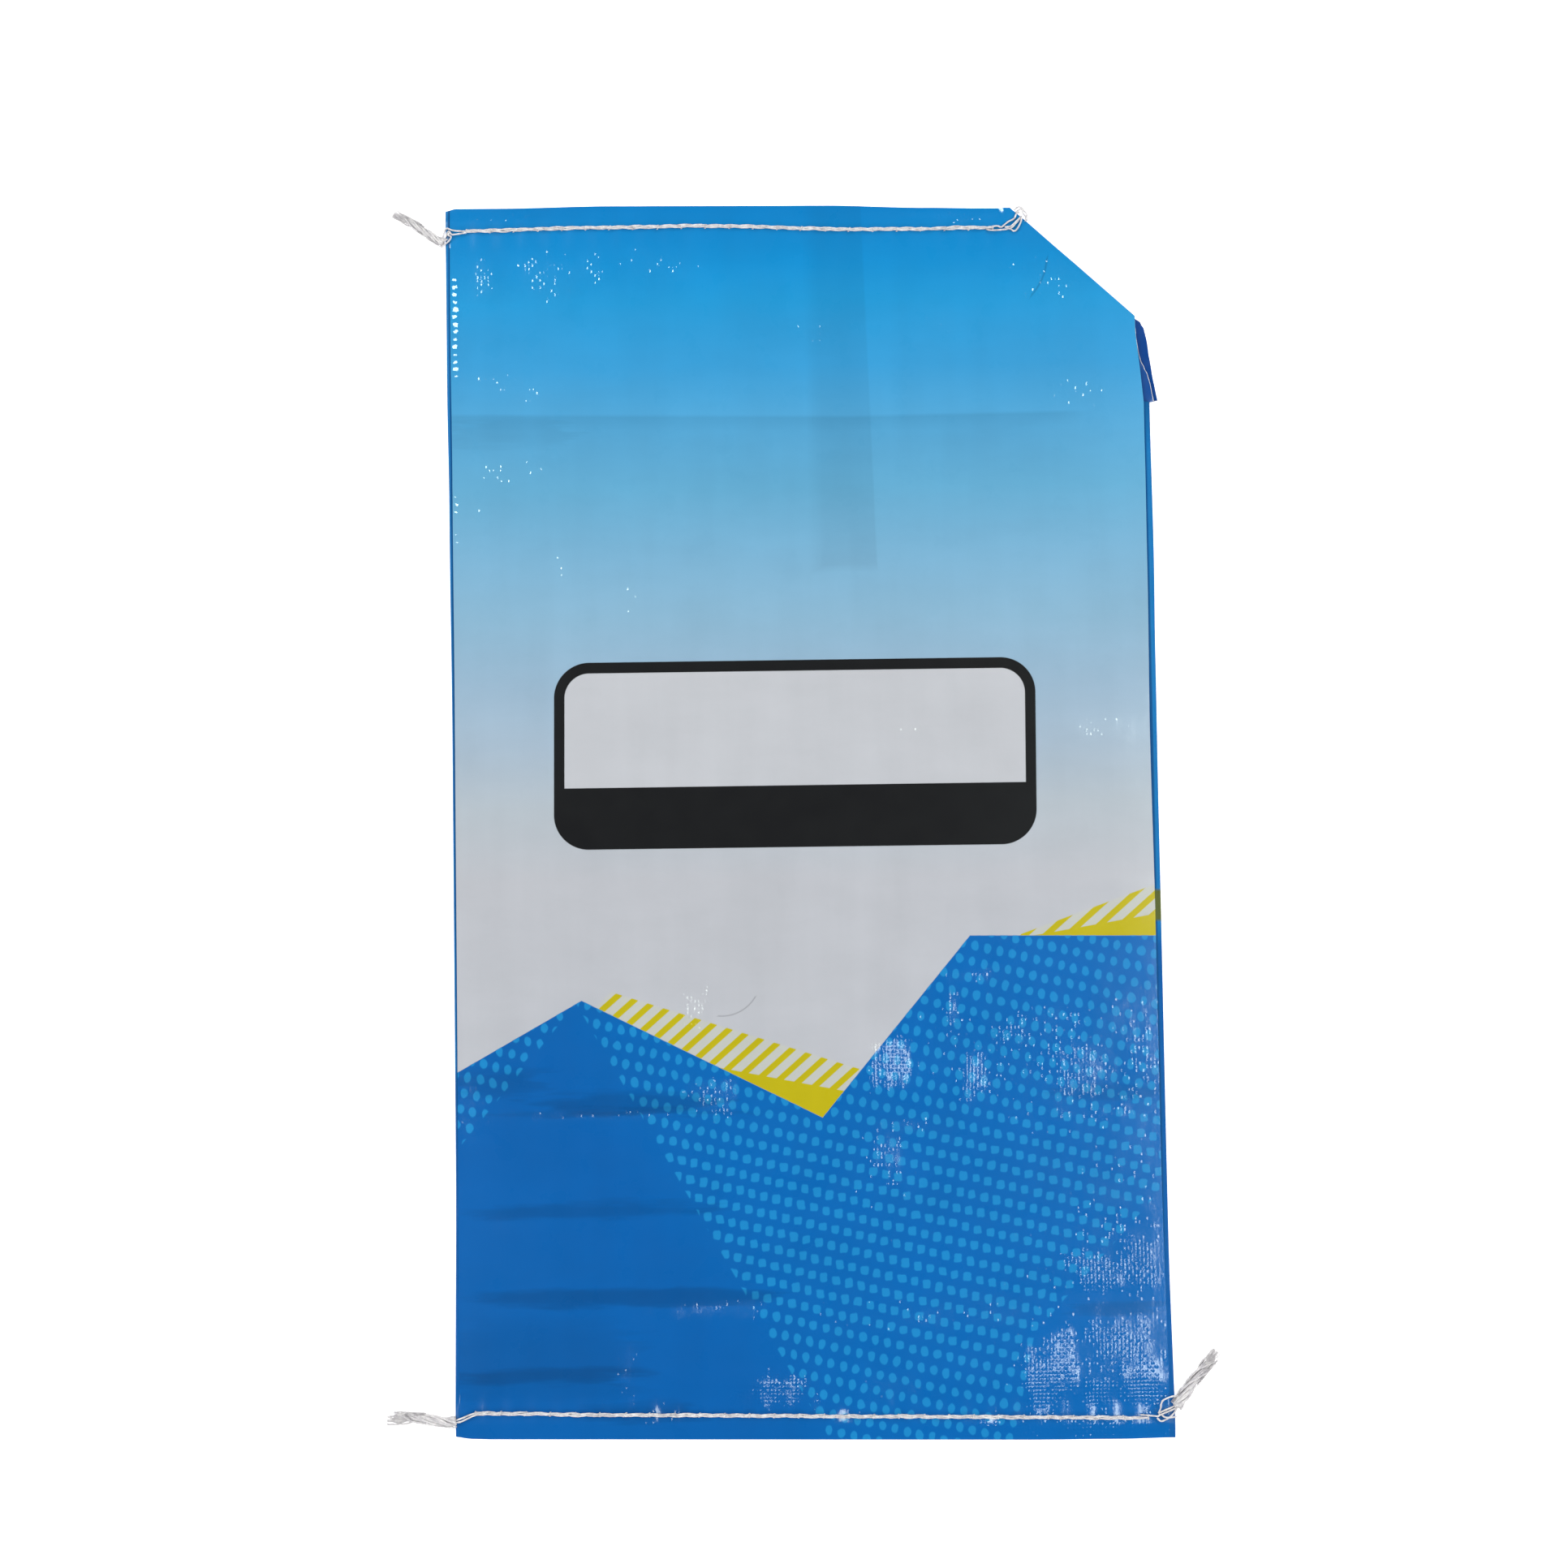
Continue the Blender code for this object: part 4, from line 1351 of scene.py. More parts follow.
    def front_height(self, row: float, x: float, edge: float) -> float:
        """Height of the middle of the front panel, with its relief.

        Args:
            row: The place's row.
            x: Its x.
            edge: X of the front panel's right edge on that row.

        Returns:
            The height.
        """
        y = self.place_y(row, x)
        _, flat = self.heights(row, x)
        side = min(x - self.run(self.left_crease, row), edge - x)
        ends = HALF_LENGTH - abs(row)
        least, reach = self.side_calm
        calm = (least + (1 - least) * smooth(0.0, reach, side)) * smooth(*self.end_calm, ends)
        taken, across, along = self.corner_calm
        corner = smooth(*across, x) * smooth(*along, y)
        relief = self.relief.height(x / MM, y / MM) * MM * calm * (1 - taken * corner)
        height, reach = self.lip
        lip = height * noise.noise(Vector((x / 0.011, row / 0.02, 5.0))) * (1 - smooth(0.0, reach, ends))
        return flat + relief + self.puckers(x, y) + lip

    def tucked_point(self) -> Vector:
        """Where the tube's own corner lies once it is tucked in.

        Returns:
            The corner's x and y.
        """
        top = Vector((TUCK_TOP_X, skewed(HALF_LENGTH, TUCK_TOP_X)))
        corner = Vector((HALF_WIDTH, skewed(HALF_LENGTH, HALF_WIDTH)))
        along = (TUCK_SIDE - top).normalized()
        return (top + along * (corner - top).dot(along)) * 2 - corner

    def sheet(self) -> bmesh.types.BMesh:
        """The whole sack as a sheet with no thickness.

        Returns:
            The sheet, with the printed faces numbered 0 and the plain ones 1.
        """
        shape = bmesh.new()
        crumple = shape.verts.layers.float.new("crumple")
        lean = shape.verts.layers.float.new("lean")
        rows = self.rows()
        near = steps(0.0, self.edge_band, self.edge_pitch)
        columns = round((self.spread_x + HALF_WIDTH) / self.column_pitch)
        spread = [i / self.spread_columns for i in range(self.spread_columns)]
        spread += self.last_columns
        fronts, backs, lefts, rights = [], [], [], []
        for row in rows:
            back_edge, front_edge = self.right_edges(row)
            crease = self.run(self.left_crease, row)
            front_x = [crease + away for away in near]
            front_x += steps(crease + self.edge_band, self.spread_x, 1.0, columns)
            front_x += [between(self.spread_x, front_edge, share) for share in spread]
            back_x = steps(self.run(self.left_out, row), self.spread_x, 1.0, self.back_columns)
            back_x += steps(self.spread_x, back_edge, 1.0, self.back_spread_columns) + [back_edge]
            front = [(x, self.place_y(row, x), self.front_height(row, x, front_edge)) for x in front_x]
            back = [(x, self.place_y(row, x), self.heights(row, x)[0]) for x in back_x]
            fronts.append([shape.verts.new(place) for place in front])
            backs.append([shape.verts.new(place) for place in back])
            for vertex in fronts[-1]:
                vertex[crumple] = self.relief.crumple(vertex.co.x / MM, vertex.co.y / MM)
                vertex[lean] = self.relief.lean(vertex.co.x / MM, vertex.co.y / MM)
            low, high = self.panel_heights(row)
            side_z = low + max(0.0005, 0.45 * (high - low))
            lefts.append(self.side(shape, row, -1, front[0], side_z))
            open_side = row > MOUTH_FOOT_Y + HAIR
            rights.append(None if open_side else self.side(shape, row, 1, front[-1], side_z))
        self.join(shape, fronts, 0)
        self.join(shape, [list(reversed(back)) for back in backs], 1)
        left_strips = [[b[0], *reversed(s), f[0]] for b, s, f in zip(backs, lefts, fronts)]
        self.join(shape, left_strips, 1)
        closed = [(f[-1], s, b[-1]) for f, s, b in zip(fronts, rights, backs) if s]
        self.join(shape, [[f, *s, b] for f, s, b in closed], 1)
        self.add_tuck(shape, rows, backs, fronts)
        bmesh.ops.recalc_face_normals(shape, faces=shape.faces)
        return shape

    def side(self, shape: bmesh.types.BMesh, row: float, sign: int, front: tuple, side_z: float) -> list:
        """The points of a side fold on a row, from the front crease round to the back panel's edge.

        Args:
            shape: The mesh that they go into.
            row: The row.
            sign: -1 for the left fold and 1 for the right one.
            front: The front panel's last point.
            side_z: Height of the fold's outermost point.

        Returns:
            The points.
        """
        height, length = self.fold_wobble
        wobble = height * noise.noise(Vector((sign * 3.0, row / length, 2.0)))
        out = self.run(self.right_out if sign > 0 else self.left_out, row)
        shoulder_x = between(front[0], out, self.fold_turn[0]) + sign * wobble
        shoulder_z = between(front[2], side_z, self.fold_turn[1])
        places = ((shoulder_x, shoulder_z), (out, side_z))
        return [shape.verts.new((x, self.place_y(row, x), z)) for x, z in places]

    def join(self, shape: bmesh.types.BMesh, lines: list, look: int) -> None:
        """Fills in the faces between lines of points that each run the same way.

        Args:
            shape: The mesh.
            lines: The lines of points.
            look: The number of the faces' material.
        """
        for line, following in zip(lines, lines[1:]):
            for j in range(len(line) - 1):
                face = shape.faces.new((line[j], line[j + 1], following[j + 1], following[j]))
                face.material_index = look

    def add_tuck(self, shape: bmesh.types.BMesh, rows: list, backs: list, fronts: list) -> None:
        """Adds the corner turned in between the panels: two flaps, their round edges and the fold between.

        Args:
            shape: The mesh.
            rows: The mesh's rows.
            backs: The back panel's points on each row.
            fronts: The front panel's points on each row.
        """
        first = next(i for i, row in enumerate(rows) if row >= self.tuck_row - HAIR)
        inner = self.tucked_point()
        way = (TUCK_SIDE - Vector((TUCK_TOP_X, skewed(HALF_LENGTH, TUCK_TOP_X)))).normalized()
        out = Vector((-way.y, way.x, 0.0)) * self.tuck_round
        flaps = []
        for panel, sign, tip_z in ((fronts, -1, FRONT_FLAT), (backs, 1, BACK_FLAT)):
            down = Vector((0.0, 0.0, sign * LAYER_PITCH))
            edge, bend, flap = [], [], []
            for i in range(first, len(rows)):
                place = panel[i][-1].co
                edge.append(panel[i][-1])
                bend.append(shape.verts.new(place + out + down / 2))
                flap.append(shape.verts.new(place + down))
            self.join(shape, [edge, bend, flap], 1)
            tip = shape.verts.new((*inner, tip_z + sign * LAYER_PITCH))
            for k in range(len(flap) - 1):
                shape.faces.new((flap[k], flap[k + 1], tip)).material_index = 1
            flaps.append((flap, tip))
        (front_flap, front_tip), (back_flap, back_tip) = flaps
        shape.faces.new((front_flap[0], front_tip, back_tip, back_flap[0])).material_index = 1

    def build(self, front: bpy.types.Material, plain: bpy.types.Material, inside: bpy.types.Material) -> None:
        """Builds the sack and gives it its thickness.

        Args:
            front: The printed film.
            plain: The film without print.
            inside: The bare weave.
        """
        looks = [front, plain, inside, inside]
        sack = add_piece("printed_sack", self.sheet(), looks, Slot.FILM, "sack")
        give_thickness(sack, 2, 2, self.sharp_fold)
        from_x, reach = self.film_rim
        for face in sack.data.polygons:
            middle = face.center
            if face.material_index > 1 and middle.x > from_x and abs(middle.y - MOUTH_FOOT_Y) < reach:
                face.material_index = 1
        log.info("printed_sack: %d faces", len(sack.data.polygons))


@dataclass
class ValveSleeve:
    """The dark blue sleeve beside the tucked corner: two layers, the upper one cut short."""

    slope: float = math.radians(10.8)
    drop: float = 0.0006
    width: float = 0.0496
    length: float = 0.100
    lower_z: float = WALL / 2 + LAYER_PITCH
    upper_z: float = 0.00155
    across: int = 48
    along: int = 24
    raw_edge: float = 0.0003
    ruffle: float = 0.00018
    # How far in from its sides the tube is pressed together, as a share of the width, and by how much
    pinch_share: float = 0.08
    pinch_depth: float = 0.0001
    sharp_fold: float = 55.0
    # Where each layer ends, as a share of the width and millimetres out of the mouth's straight line
    upper_end: tuple = (
        (0.0, 0.0), (0.125, -0.8), (0.25, -1.6), (0.43, -1.9), (0.51, -1.7), (0.60, -0.6), (0.69, 0.4),
        (0.80, 0.75), (0.90, 0.6), (1.0, 0.6),
    )  # fmt: skip
    lower_end: tuple = (
        (0.0, 0.0), (0.07, 2.8), (0.10, 3.1), (0.14, 3.9), (0.28, 4.1), (0.5, 3.4), (0.75, 2.9), (1.0, 2.8),
    )  # fmt: skip

    def sheet(self) -> bmesh.types.BMesh:
        """The sleeve as a flat tube with no thickness.

        Returns:
            The tube, with its upper layer's faces numbered 0, its lower one's 1 and its cut edge's 2.
        """
        inward = Vector((-math.cos(self.slope), -math.sin(self.slope)))
        down = Vector((-inward.y, inward.x))
        corner = TUCK_SIDE + down * self.drop
        shape = bmesh.new()
        lines = []
        for i in range(self.across + 1):
            share = i / self.across
            start = corner + down * self.width * share
            upper_out = eased(self.upper_end, share) * MM
            lower_out = eased(self.lower_end, share) * MM
            pinch = 1 - smooth(0.0, self.pinch_share, min(share, 1 - share))
            ring = []
            for out, flat, sign in ((upper_out, self.upper_z, 1), (lower_out, self.lower_z, -1)):
                line = []
                for j in range(self.along + 1):
                    near = (1 - j / self.along) ** 3
                    reach = between(-out, self.length, (j - 1) / (self.along - 1)) if j else -out
                    place = start + inward * (reach + (self.raw_edge if j == 1 else 0.0))
                    ruffle = self.ruffle * near * noise.noise(Vector((share * 7, sign * 2.0, j * 0.2)))
                    z = flat + ruffle - sign * pinch * self.pinch_depth
                    line.append(shape.verts.new((*place, z)))
                ring.append(line)
            lines.append(ring)
        for (upper, lower), (next_upper, next_lower) in zip(lines, lines[1:]):
            for j in range(self.along):
                high = shape.faces.new((upper[j], upper[j + 1], next_upper[j + 1], next_upper[j]))
                high.material_index = 0 if j else 2
                low = shape.faces.new((lower[j + 1], lower[j], next_lower[j], next_lower[j + 1]))
                low.material_index = 1
        for upper, lower in (lines[0], lines[-1]):
            for j in range(self.along):
                shape.faces.new((upper[j], lower[j], lower[j + 1], upper[j + 1]))
        bmesh.ops.recalc_face_normals(shape, faces=shape.faces)
        return shape

    def build(self, upper: bpy.types.Material, lower: bpy.types.Material, raw: bpy.types.Material) -> None:
        """Builds the sleeve and gives it its thickness.

        Args:
            upper: The upper layer's film.
            lower: The lower layer's film.
            raw: The bare weave of its cut edge.
        """
        looks = [upper, lower, raw, raw]
        sleeve = add_piece("dark_blue_sleeve", self.sheet(), looks, Slot.SLEEVE, "valve_sleeve")
        give_thickness(sleeve, 0, 2, self.sharp_fold)
        log.info("dark_blue_sleeve: %d faces", len(sleeve.data.polygons))


# The thread


@dataclass(frozen=True)
class Ply:
    """A thread's make-up: its radius, how deep the groove between its plies is, and the twist's length."""

    radius: float
    plies: int = 2
    groove: float = 0.09
    lay: float = 0.0060
    sides: int = 10
    step: float = 0.0007


def add_strand(shape: bmesh.types.BMesh, points: list[Vector], ply: Ply, taper: float = 0.0) -> None:
    """Adds one twisted thread along a route, closed at both ends.

    Args:
        shape: The mesh that it goes into.
        points: The route's points, which a smooth curve runs through.
        ply: What the thread is made of.
        taper: How much thinner its far end is, as a share.
    """
    route = smooth_route(points, ply.step)
    across = Vector((0.0, 0.0, 1.0))
    rings = []
    run = 0.0
    for i, place in enumerate(route):
        ahead = (route[min(i + 1, len(route) - 1)] - route[max(i - 1, 0)]).normalized()
        across = across - ahead * across.dot(ahead)
        if across.length < HAIR:
            across = ahead.orthogonal()
        across.normalize()
        beside = ahead.cross(across)
        if i:
            run += (place - route[i - 1]).length
        thin = 1 - taper * i / (len(route) - 1)
        ring = []
        for k in range(ply.sides):
            angle = 2 * math.pi * k / ply.sides
            lobe = 1 + ply.groove * math.cos(ply.plies * (angle - 2 * math.pi * run / ply.lay))
            out = across * math.cos(angle) + beside * math.sin(angle)
            ring.append(shape.verts.new(place + out * (ply.radius * thin * lobe)))
        rings.append(ring)
    for ring, following in zip(rings, rings[1:]):
        for k in range(ply.sides):
            after = (k + 1) % ply.sides
            face = shape.faces.new((ring[k], ring[after], following[after], following[k]))
            face.smooth = True
    shape.faces.new(list(reversed(rings[0])))
    shape.faces.new(rings[-1])


@dataclass
class SewnSeam:
    """A chain stitch: the needle thread's loops come up through the film, and three strands of the looper
    thread run through them and cross at each one."""

    name: str
    seam: tuple
    span: tuple
    end: End
    loose: tuple = ()
    ply: Ply = Ply(radius=0.00048)
    chain_z: float = 0.00296
    part: float = 0.00066
    under_z: float = BACK_SEWN - WALL / 2 - 0.00015 - THREAD / 2
    loop_z: float = 0.0037
    strands: int = 3
    per_stitch: int = 8
    # How unevenly the strands part, how much they rise and fall, and how far the chain sways
    uneven: float = 0.7
    strand_lift: float = 0.00038
    sway: float = 0.00035
    needle: Ply = Ply(radius=0.00036, step=0.0006, sides=8)
    # The needle thread's legs: how wide apart, how far they lean, how high they stand, and their loop's sag
    leg_side: float = 0.85 * LEG_SPREAD / 2
    leg_lean: float = 0.0009
    leg_z: float = 0.0024
    loop_sag: float = 0.00015
    # Height of a loose loop past the sack's edge, and of each further layer of loops
    floor_z: float = 0.0014
    layer_z: float = 0.00028

    def chain(self, shape: bmesh.types.BMesh, places: list[Vector]) -> None:
        """Adds the looper thread's strands along the holes, plaited once to each stitch.

        Args:
            shape: The mesh that they go into.
            places: The needle holes.
        """
        for strand in range(self.strands):
            phase = 2 * math.pi * strand / self.strands
            points = []
            for i in range((len(places) - 1) * self.per_stitch + 1):
                share = i / self.per_stitch
                left = min(int(share), len(places) - 2)
                middle = between(places[left], places[left + 1], share - left)
                where = Vector((share * 0.9, strand * 4.0, self.end.value * 9.0))
                loose = 1 + self.uneven * noise.noise(where)
                turn = math.pi * share + phase
                side = self.part * math.sin(turn) * loose * smooth(0.0, 0.7, len(places) - 1 - share)
                lift = self.strand_lift * math.sin(2 * turn)
                sway = self.sway * noise.noise(Vector((share * 0.6, 1.0, self.end.value * 5.0)))
                points.append(Vector((middle.x, middle.y + side + sway, self.chain_z + lift)))
            add_strand(shape, points, self.ply)

    def needle_thread(self, shape: bmesh.types.BMesh, places: list[Vector]) -> None:
        """Adds the thread that goes up through each hole, over the chain, down again and on to the next.

        Args:
            shape: The mesh that it goes into.
            places: The needle holes.
        """
        side = self.leg_side
        points = [Vector((places[0].x - 3 * THREAD, places[0].y + side, self.under_z))]
        for place in places:
            lean = self.leg_lean * noise.noise(Vector((place.x * 90, place.y * 3, 0.0)))
            for y, z in (
                (side, self.under_z),
                (side, self.leg_z),
                (side / 2, self.loop_z - self.loop_sag),
                (-side / 2, self.loop_z - self.loop_sag),
                (-side, self.leg_z),
                (-side, self.under_z),
            ):
                points.append(Vector((place.x + lean * y / side, place.y + y, z)))
        points.append(Vector((places[-1].x + 3 * THREAD, places[-1].y - side, self.under_z)))
        add_strand(shape, points, self.needle)

    def draped(self, route: tuple, layer: int) -> list[Vector]:
        """A loose loop's points: on the sack inside its outline, and down on the floor beyond it.

        Args:
            route: The loop's places, as x and y in millimetres.
            layer: How many loops it lies on.

        Returns:
            The points.
        """
        top = Vector((TUCK_TOP_X, skewed(HALF_LENGTH, TUCK_TOP_X)))
        way = (TUCK_SIDE - top).normalized()
        points = []
        for x, y in route:
            place = Vector((x, y)) * MM
            beyond = max(abs(place.x) - HALF_WIDTH, (place - top).dot(Vector((-way.y, way.x))))
            height = between(self.chain_z, self.floor_z, smooth(-0.001, 0.006, beyond))
            points.append(Vector((place.x, place.y, height + self.layer_z * layer)))
        return points

    def build(self, look: bpy.types.Material) -> None:
        """Builds the needle thread and the looper thread with its loose loops.

        Args:
            look: The thread's material.
        """
        places = holes(self.seam, self.span, self.end)
        needle = bmesh.new()
        self.needle_thread(needle, places)
        piece = add_piece(f"{self.name}_stitches", needle, [look], Slot.THREAD, f"{self.name}_needle_thread")
        log.info("%s: %d faces", piece.name, len(piece.data.polygons))
        chain = bmesh.new()
        self.chain(chain, places)
        for layer, route in enumerate(self.loose):
            add_strand(chain, self.draped(route, layer % 4), self.ply)
        piece = add_piece(f"{self.name}_chain", chain, [look], Slot.THREAD, f"{self.name}_looper_thread")
        log.info("%s: %d faces", piece.name, len(piece.data.polygons))


@dataclass
class ThreadTail:
    """A loose end of the chain: a few strands laid round each other, coming apart at the far end."""

    name: str
    route: tuple
    width: float
    end_spread: float = 1.0
    strands: int = 11
    fray: float = 0.9
    turns: float = 1.1
    fibres: int = 190
    lift: float = 0.0004
    # A strand's radius, how far out the strands lie, how far they part and how much they sway, as shares
    # of the tail's width
    strand_radius: float = 0.125
    strand_reach: float = 0.36
    parting: float = 0.12
    strand_sway: float = 0.12
    strand_taper: float = 0.35
    # A fibre's reach from and to, and its sway, as shares of the width, and its radius from and to
    fibre_reach: tuple = (0.40, 0.62)
    fibre_sway: float = 0.16
    fibre_radius: tuple = (0.00007, 0.00012)
    fibre_points: int = 7
    least_step: float = 0.0004

    def points(self) -> list[Vector]:
        """The tail's middle line."""
        up = Vector((0.0, 0.0, self.width * 0.4 + self.lift))
        return smooth_route([Vector((x, y, 0.0)) * MM + up for x, y in self.route], 2 * self.width)

    def build(self, look: bpy.types.Material) -> None:
        """Builds the tail.

        Args:
            look: The thread's material.
        """
        line = self.points()
        fine = smooth_route(line, self.width / 3)
        shape = bmesh.new()
        strand = Ply(radius=self.width * self.strand_radius)
        for k in range(self.strands):
            self.add_laid(shape, fine, strand, k)
        for k in range(self.fibres):
            self.add_fibre(shape, fine, k)
        piece = add_piece(f"{self.name}_strands", shape, [look], Slot.THREAD, self.name)

    def frame_at(self, fine: list[Vector], i: int) -> tuple[Vector, Vector]:
        """The two directions across the tail at a point of its line.

        Args:
            fine: The line's points.
            i: The number of the point.

        Returns:
            The level direction across the tail, and up.
        """
        ahead = (fine[min(i + 1, len(fine) - 1)] - fine[max(i - 1, 0)]).normalized()
        beside = Vector((-ahead.y, ahead.x, 0.0)).normalized()
        return beside, Vector((0.0, 0.0, 1.0))

    def add_laid(self, shape: bmesh.types.BMesh, fine: list[Vector], strand: Ply, k: int) -> None:
        """Adds one strand, wound round the tail's middle.

        Args:
            shape: The mesh that it goes into.
            fine: The points of the tail's line.
            strand: The strand's make-up.
            k: The strand's number.
        """
        points = []
        short = 0.06 * ((k * 7) % 3)
        last = len(fine) - 1
        for i, place in enumerate(fine):
            share = i / last
            if share > 1 - short:
                break
            beside, up = self.frame_at(fine, i)
            angle = 2 * math.pi * (k / self.strands + self.turns * share)
            loose = smooth(0.55, 1.0, share) * self.fray
            reach = self.width * (self.strand_reach + self.parting * loose * self.end_spread)
            reach *= 0.55 + 0.30 * (k % 3)
            sway = noise.noise(Vector((share * 4, k * 3.3, self.width * 900))) * self.width * self.strand_sway
            rise = math.sin(angle) * reach * (0.8 - 0.3 * loose)
            points.append(place + beside * (math.cos(angle) * reach + sway) + up * rise)
        add_strand(shape, points, strand, self.strand_taper)

    def add_fibre(self, shape: bmesh.types.BMesh, fine: list[Vector], k: int) -> None:
        """Adds one of the fine fibres that make the tail fuzzy and spread out at its end.

        Args:
            shape: The mesh that it goes into.
            fine: The points of the tail's line.
            k: The fibre's number.
        """
        last = len(fine) - 1
        start = between(0.0, 0.80, (k * 0.618) % 1.0)
        end = min(1.0, start + between(0.16, 0.42, (k * 0.414) % 1.0))
        points = []
        for j in range(self.fibre_points):
            share = between(start, end, j / (self.fibre_points - 1))
            i = min(last, round(share * last))
            beside, up = self.frame_at(fine, i)
            angle = 2.4 * k + 0.9 * share
            spread = 1 + (self.end_spread - 0.6) * smooth(0.6, 1.0, share)
            reach = self.width * between(*self.fibre_reach, (k * 0.732) % 1.0) * spread
            reach += self.width * self.fibre_sway * noise.noise(Vector((share * 7, k * 1.7, 3.0)))
            rise = max(self.width * -0.3, math.sin(angle) * reach * 0.55)
            points.append(fine[i] + beside * math.cos(angle) * reach + up * rise)
        kept = [points[0]]
        for point in points[1:]:
            if (point - kept[-1]).length > self.least_step:
                kept.append(point)
        if len(kept) > 2:
            radius = between(*self.fibre_radius, (k * 0.29) % 1.0)
            add_strand(shape, kept, Ply(radius=radius, sides=4, groove=0.0))


# The chain's loose loops at the seams' ends, and the tails, as x and y in millimetres
TOP_LOOPS = (
    ((-190, 339.2), (-196.7, 339.7), (-200.0, 340.7), (-201.1, 341.2), (-202.6, 339.8), (-204.0, 334.6),
     (-204.5, 331.3)),
    ((-190, 338.4), (-196.7, 337.4), (-198.6, 337.6), (-200.2, 339.3), (-202.1, 336.0), (-203.8, 331.0)),
    ((-199.1, 338.8), (-200.5, 337.2), (-198.8, 336.2), (-199.6, 334.1), (-202.6, 331.7), (-204.7, 330.1)),
    ((-208.6, 335.5), (-206.1, 334.6), (-203.8, 333.7), (-201.0, 334.6)),
    ((109.0, 336.3), (115.3, 337.1), (117.9, 336.4), (121.7, 339.4), (125.2, 341.2), (126.7, 344.3),
     (128.3, 345.0)),
    ((109.0, 335.3), (111.8, 334.6), (116.9, 334.7), (123.0, 335.6), (126.3, 338.6), (129.4, 342.1)),
    ((120.7, 335.6), (123.4, 334.9), (124.6, 333.9), (126.5, 334.6), (129.1, 339.3), (129.4, 342.6)),
    ((119.7, 336.1), (123.0, 336.5), (125.4, 338.4), (128.7, 341.6)),
    ((125.5, 346.4), (128.6, 348.5), (131.6, 345.6), (132.7, 343.7), (132.4, 340.1)),
    ((126.2, 344.9), (129.5, 347.1), (130.6, 344.2), (132.0, 342.1), (131.6, 339.6)),
)  # fmt: skip
BOTTOM_LOOPS = (
    ((-186.0, -332.2), (-189.5, -332.4), (-193.5, -333.6), (-196.9, -335.0), (-200.5, -336.2),
     (-203.5, -336.8)),
    ((-186.0, -333.2), (-190.0, -333.6), (-194.8, -335.6), (-197.5, -336.9), (-200.3, -337.5),
     (-203.5, -337.7)),
    ((181.5, -338.4), (189.1, -339.2), (191.6, -339.4), (192.4, -338.2)),
    ((191.7, -337.8), (192.9, -335.0), (193.3, -332.5), (194.8, -330.4), (199.9, -328.5), (204.6, -328.6)),
    ((191.7, -337.8), (195.0, -336.4), (200.8, -334.0), (203.4, -331.5), (207.2, -325.9)),
    ((192.2, -339.0), (195.5, -337.6), (201.3, -335.2), (204.1, -332.7), (208.2, -327.2)),
    ((190.9, -340.3), (192.3, -341.8), (193.8, -342.1), (197.8, -340.1), (201.1, -336.9), (203.6, -331.8)),
    ((193.7, -338.9), (195.3, -340.0), (198.5, -340.2), (201.7, -339.8)),
)  # fmt: skip
TAILS = (
    ThreadTail(
        "top_left_thread_tail",
        (
            (-203.3, 333.2), (-205.2, 333.8), (-212.0, 338.3), (-220.4, 343.7), (-228.0, 347.8),
            (-231.8, 349.8),
        ),  # fmt: skip
        0.0045,
    ),
    ThreadTail(
        "bottom_left_thread_tail",
        ((-200.9, -336.8), (-205.3, -337.0), (-218.0, -335.5), (-225.2, -335.0), (-239.2, -335.0)),
        0.0055,
        end_spread=1.4,
    ),
    ThreadTail(
        "bottom_right_thread_tail",
        ((202.0, -334.2), (204.2, -331.2), (211.4, -320.9), (216.5, -314.3), (225.2, -303.9)),
        0.0060,
        end_spread=1.15,
    ),
)


# The studio


@dataclass(frozen=True)
class Lamp:
    """A soft lamp: its place, its width and length, its strength, the place that it faces, and whether it
    only shows in gloss or only gives light. One with no place to face hangs level."""

    name: str
    place: tuple
    size: tuple
    power: float
    aim: tuple = ()
    gloss_only: bool = False


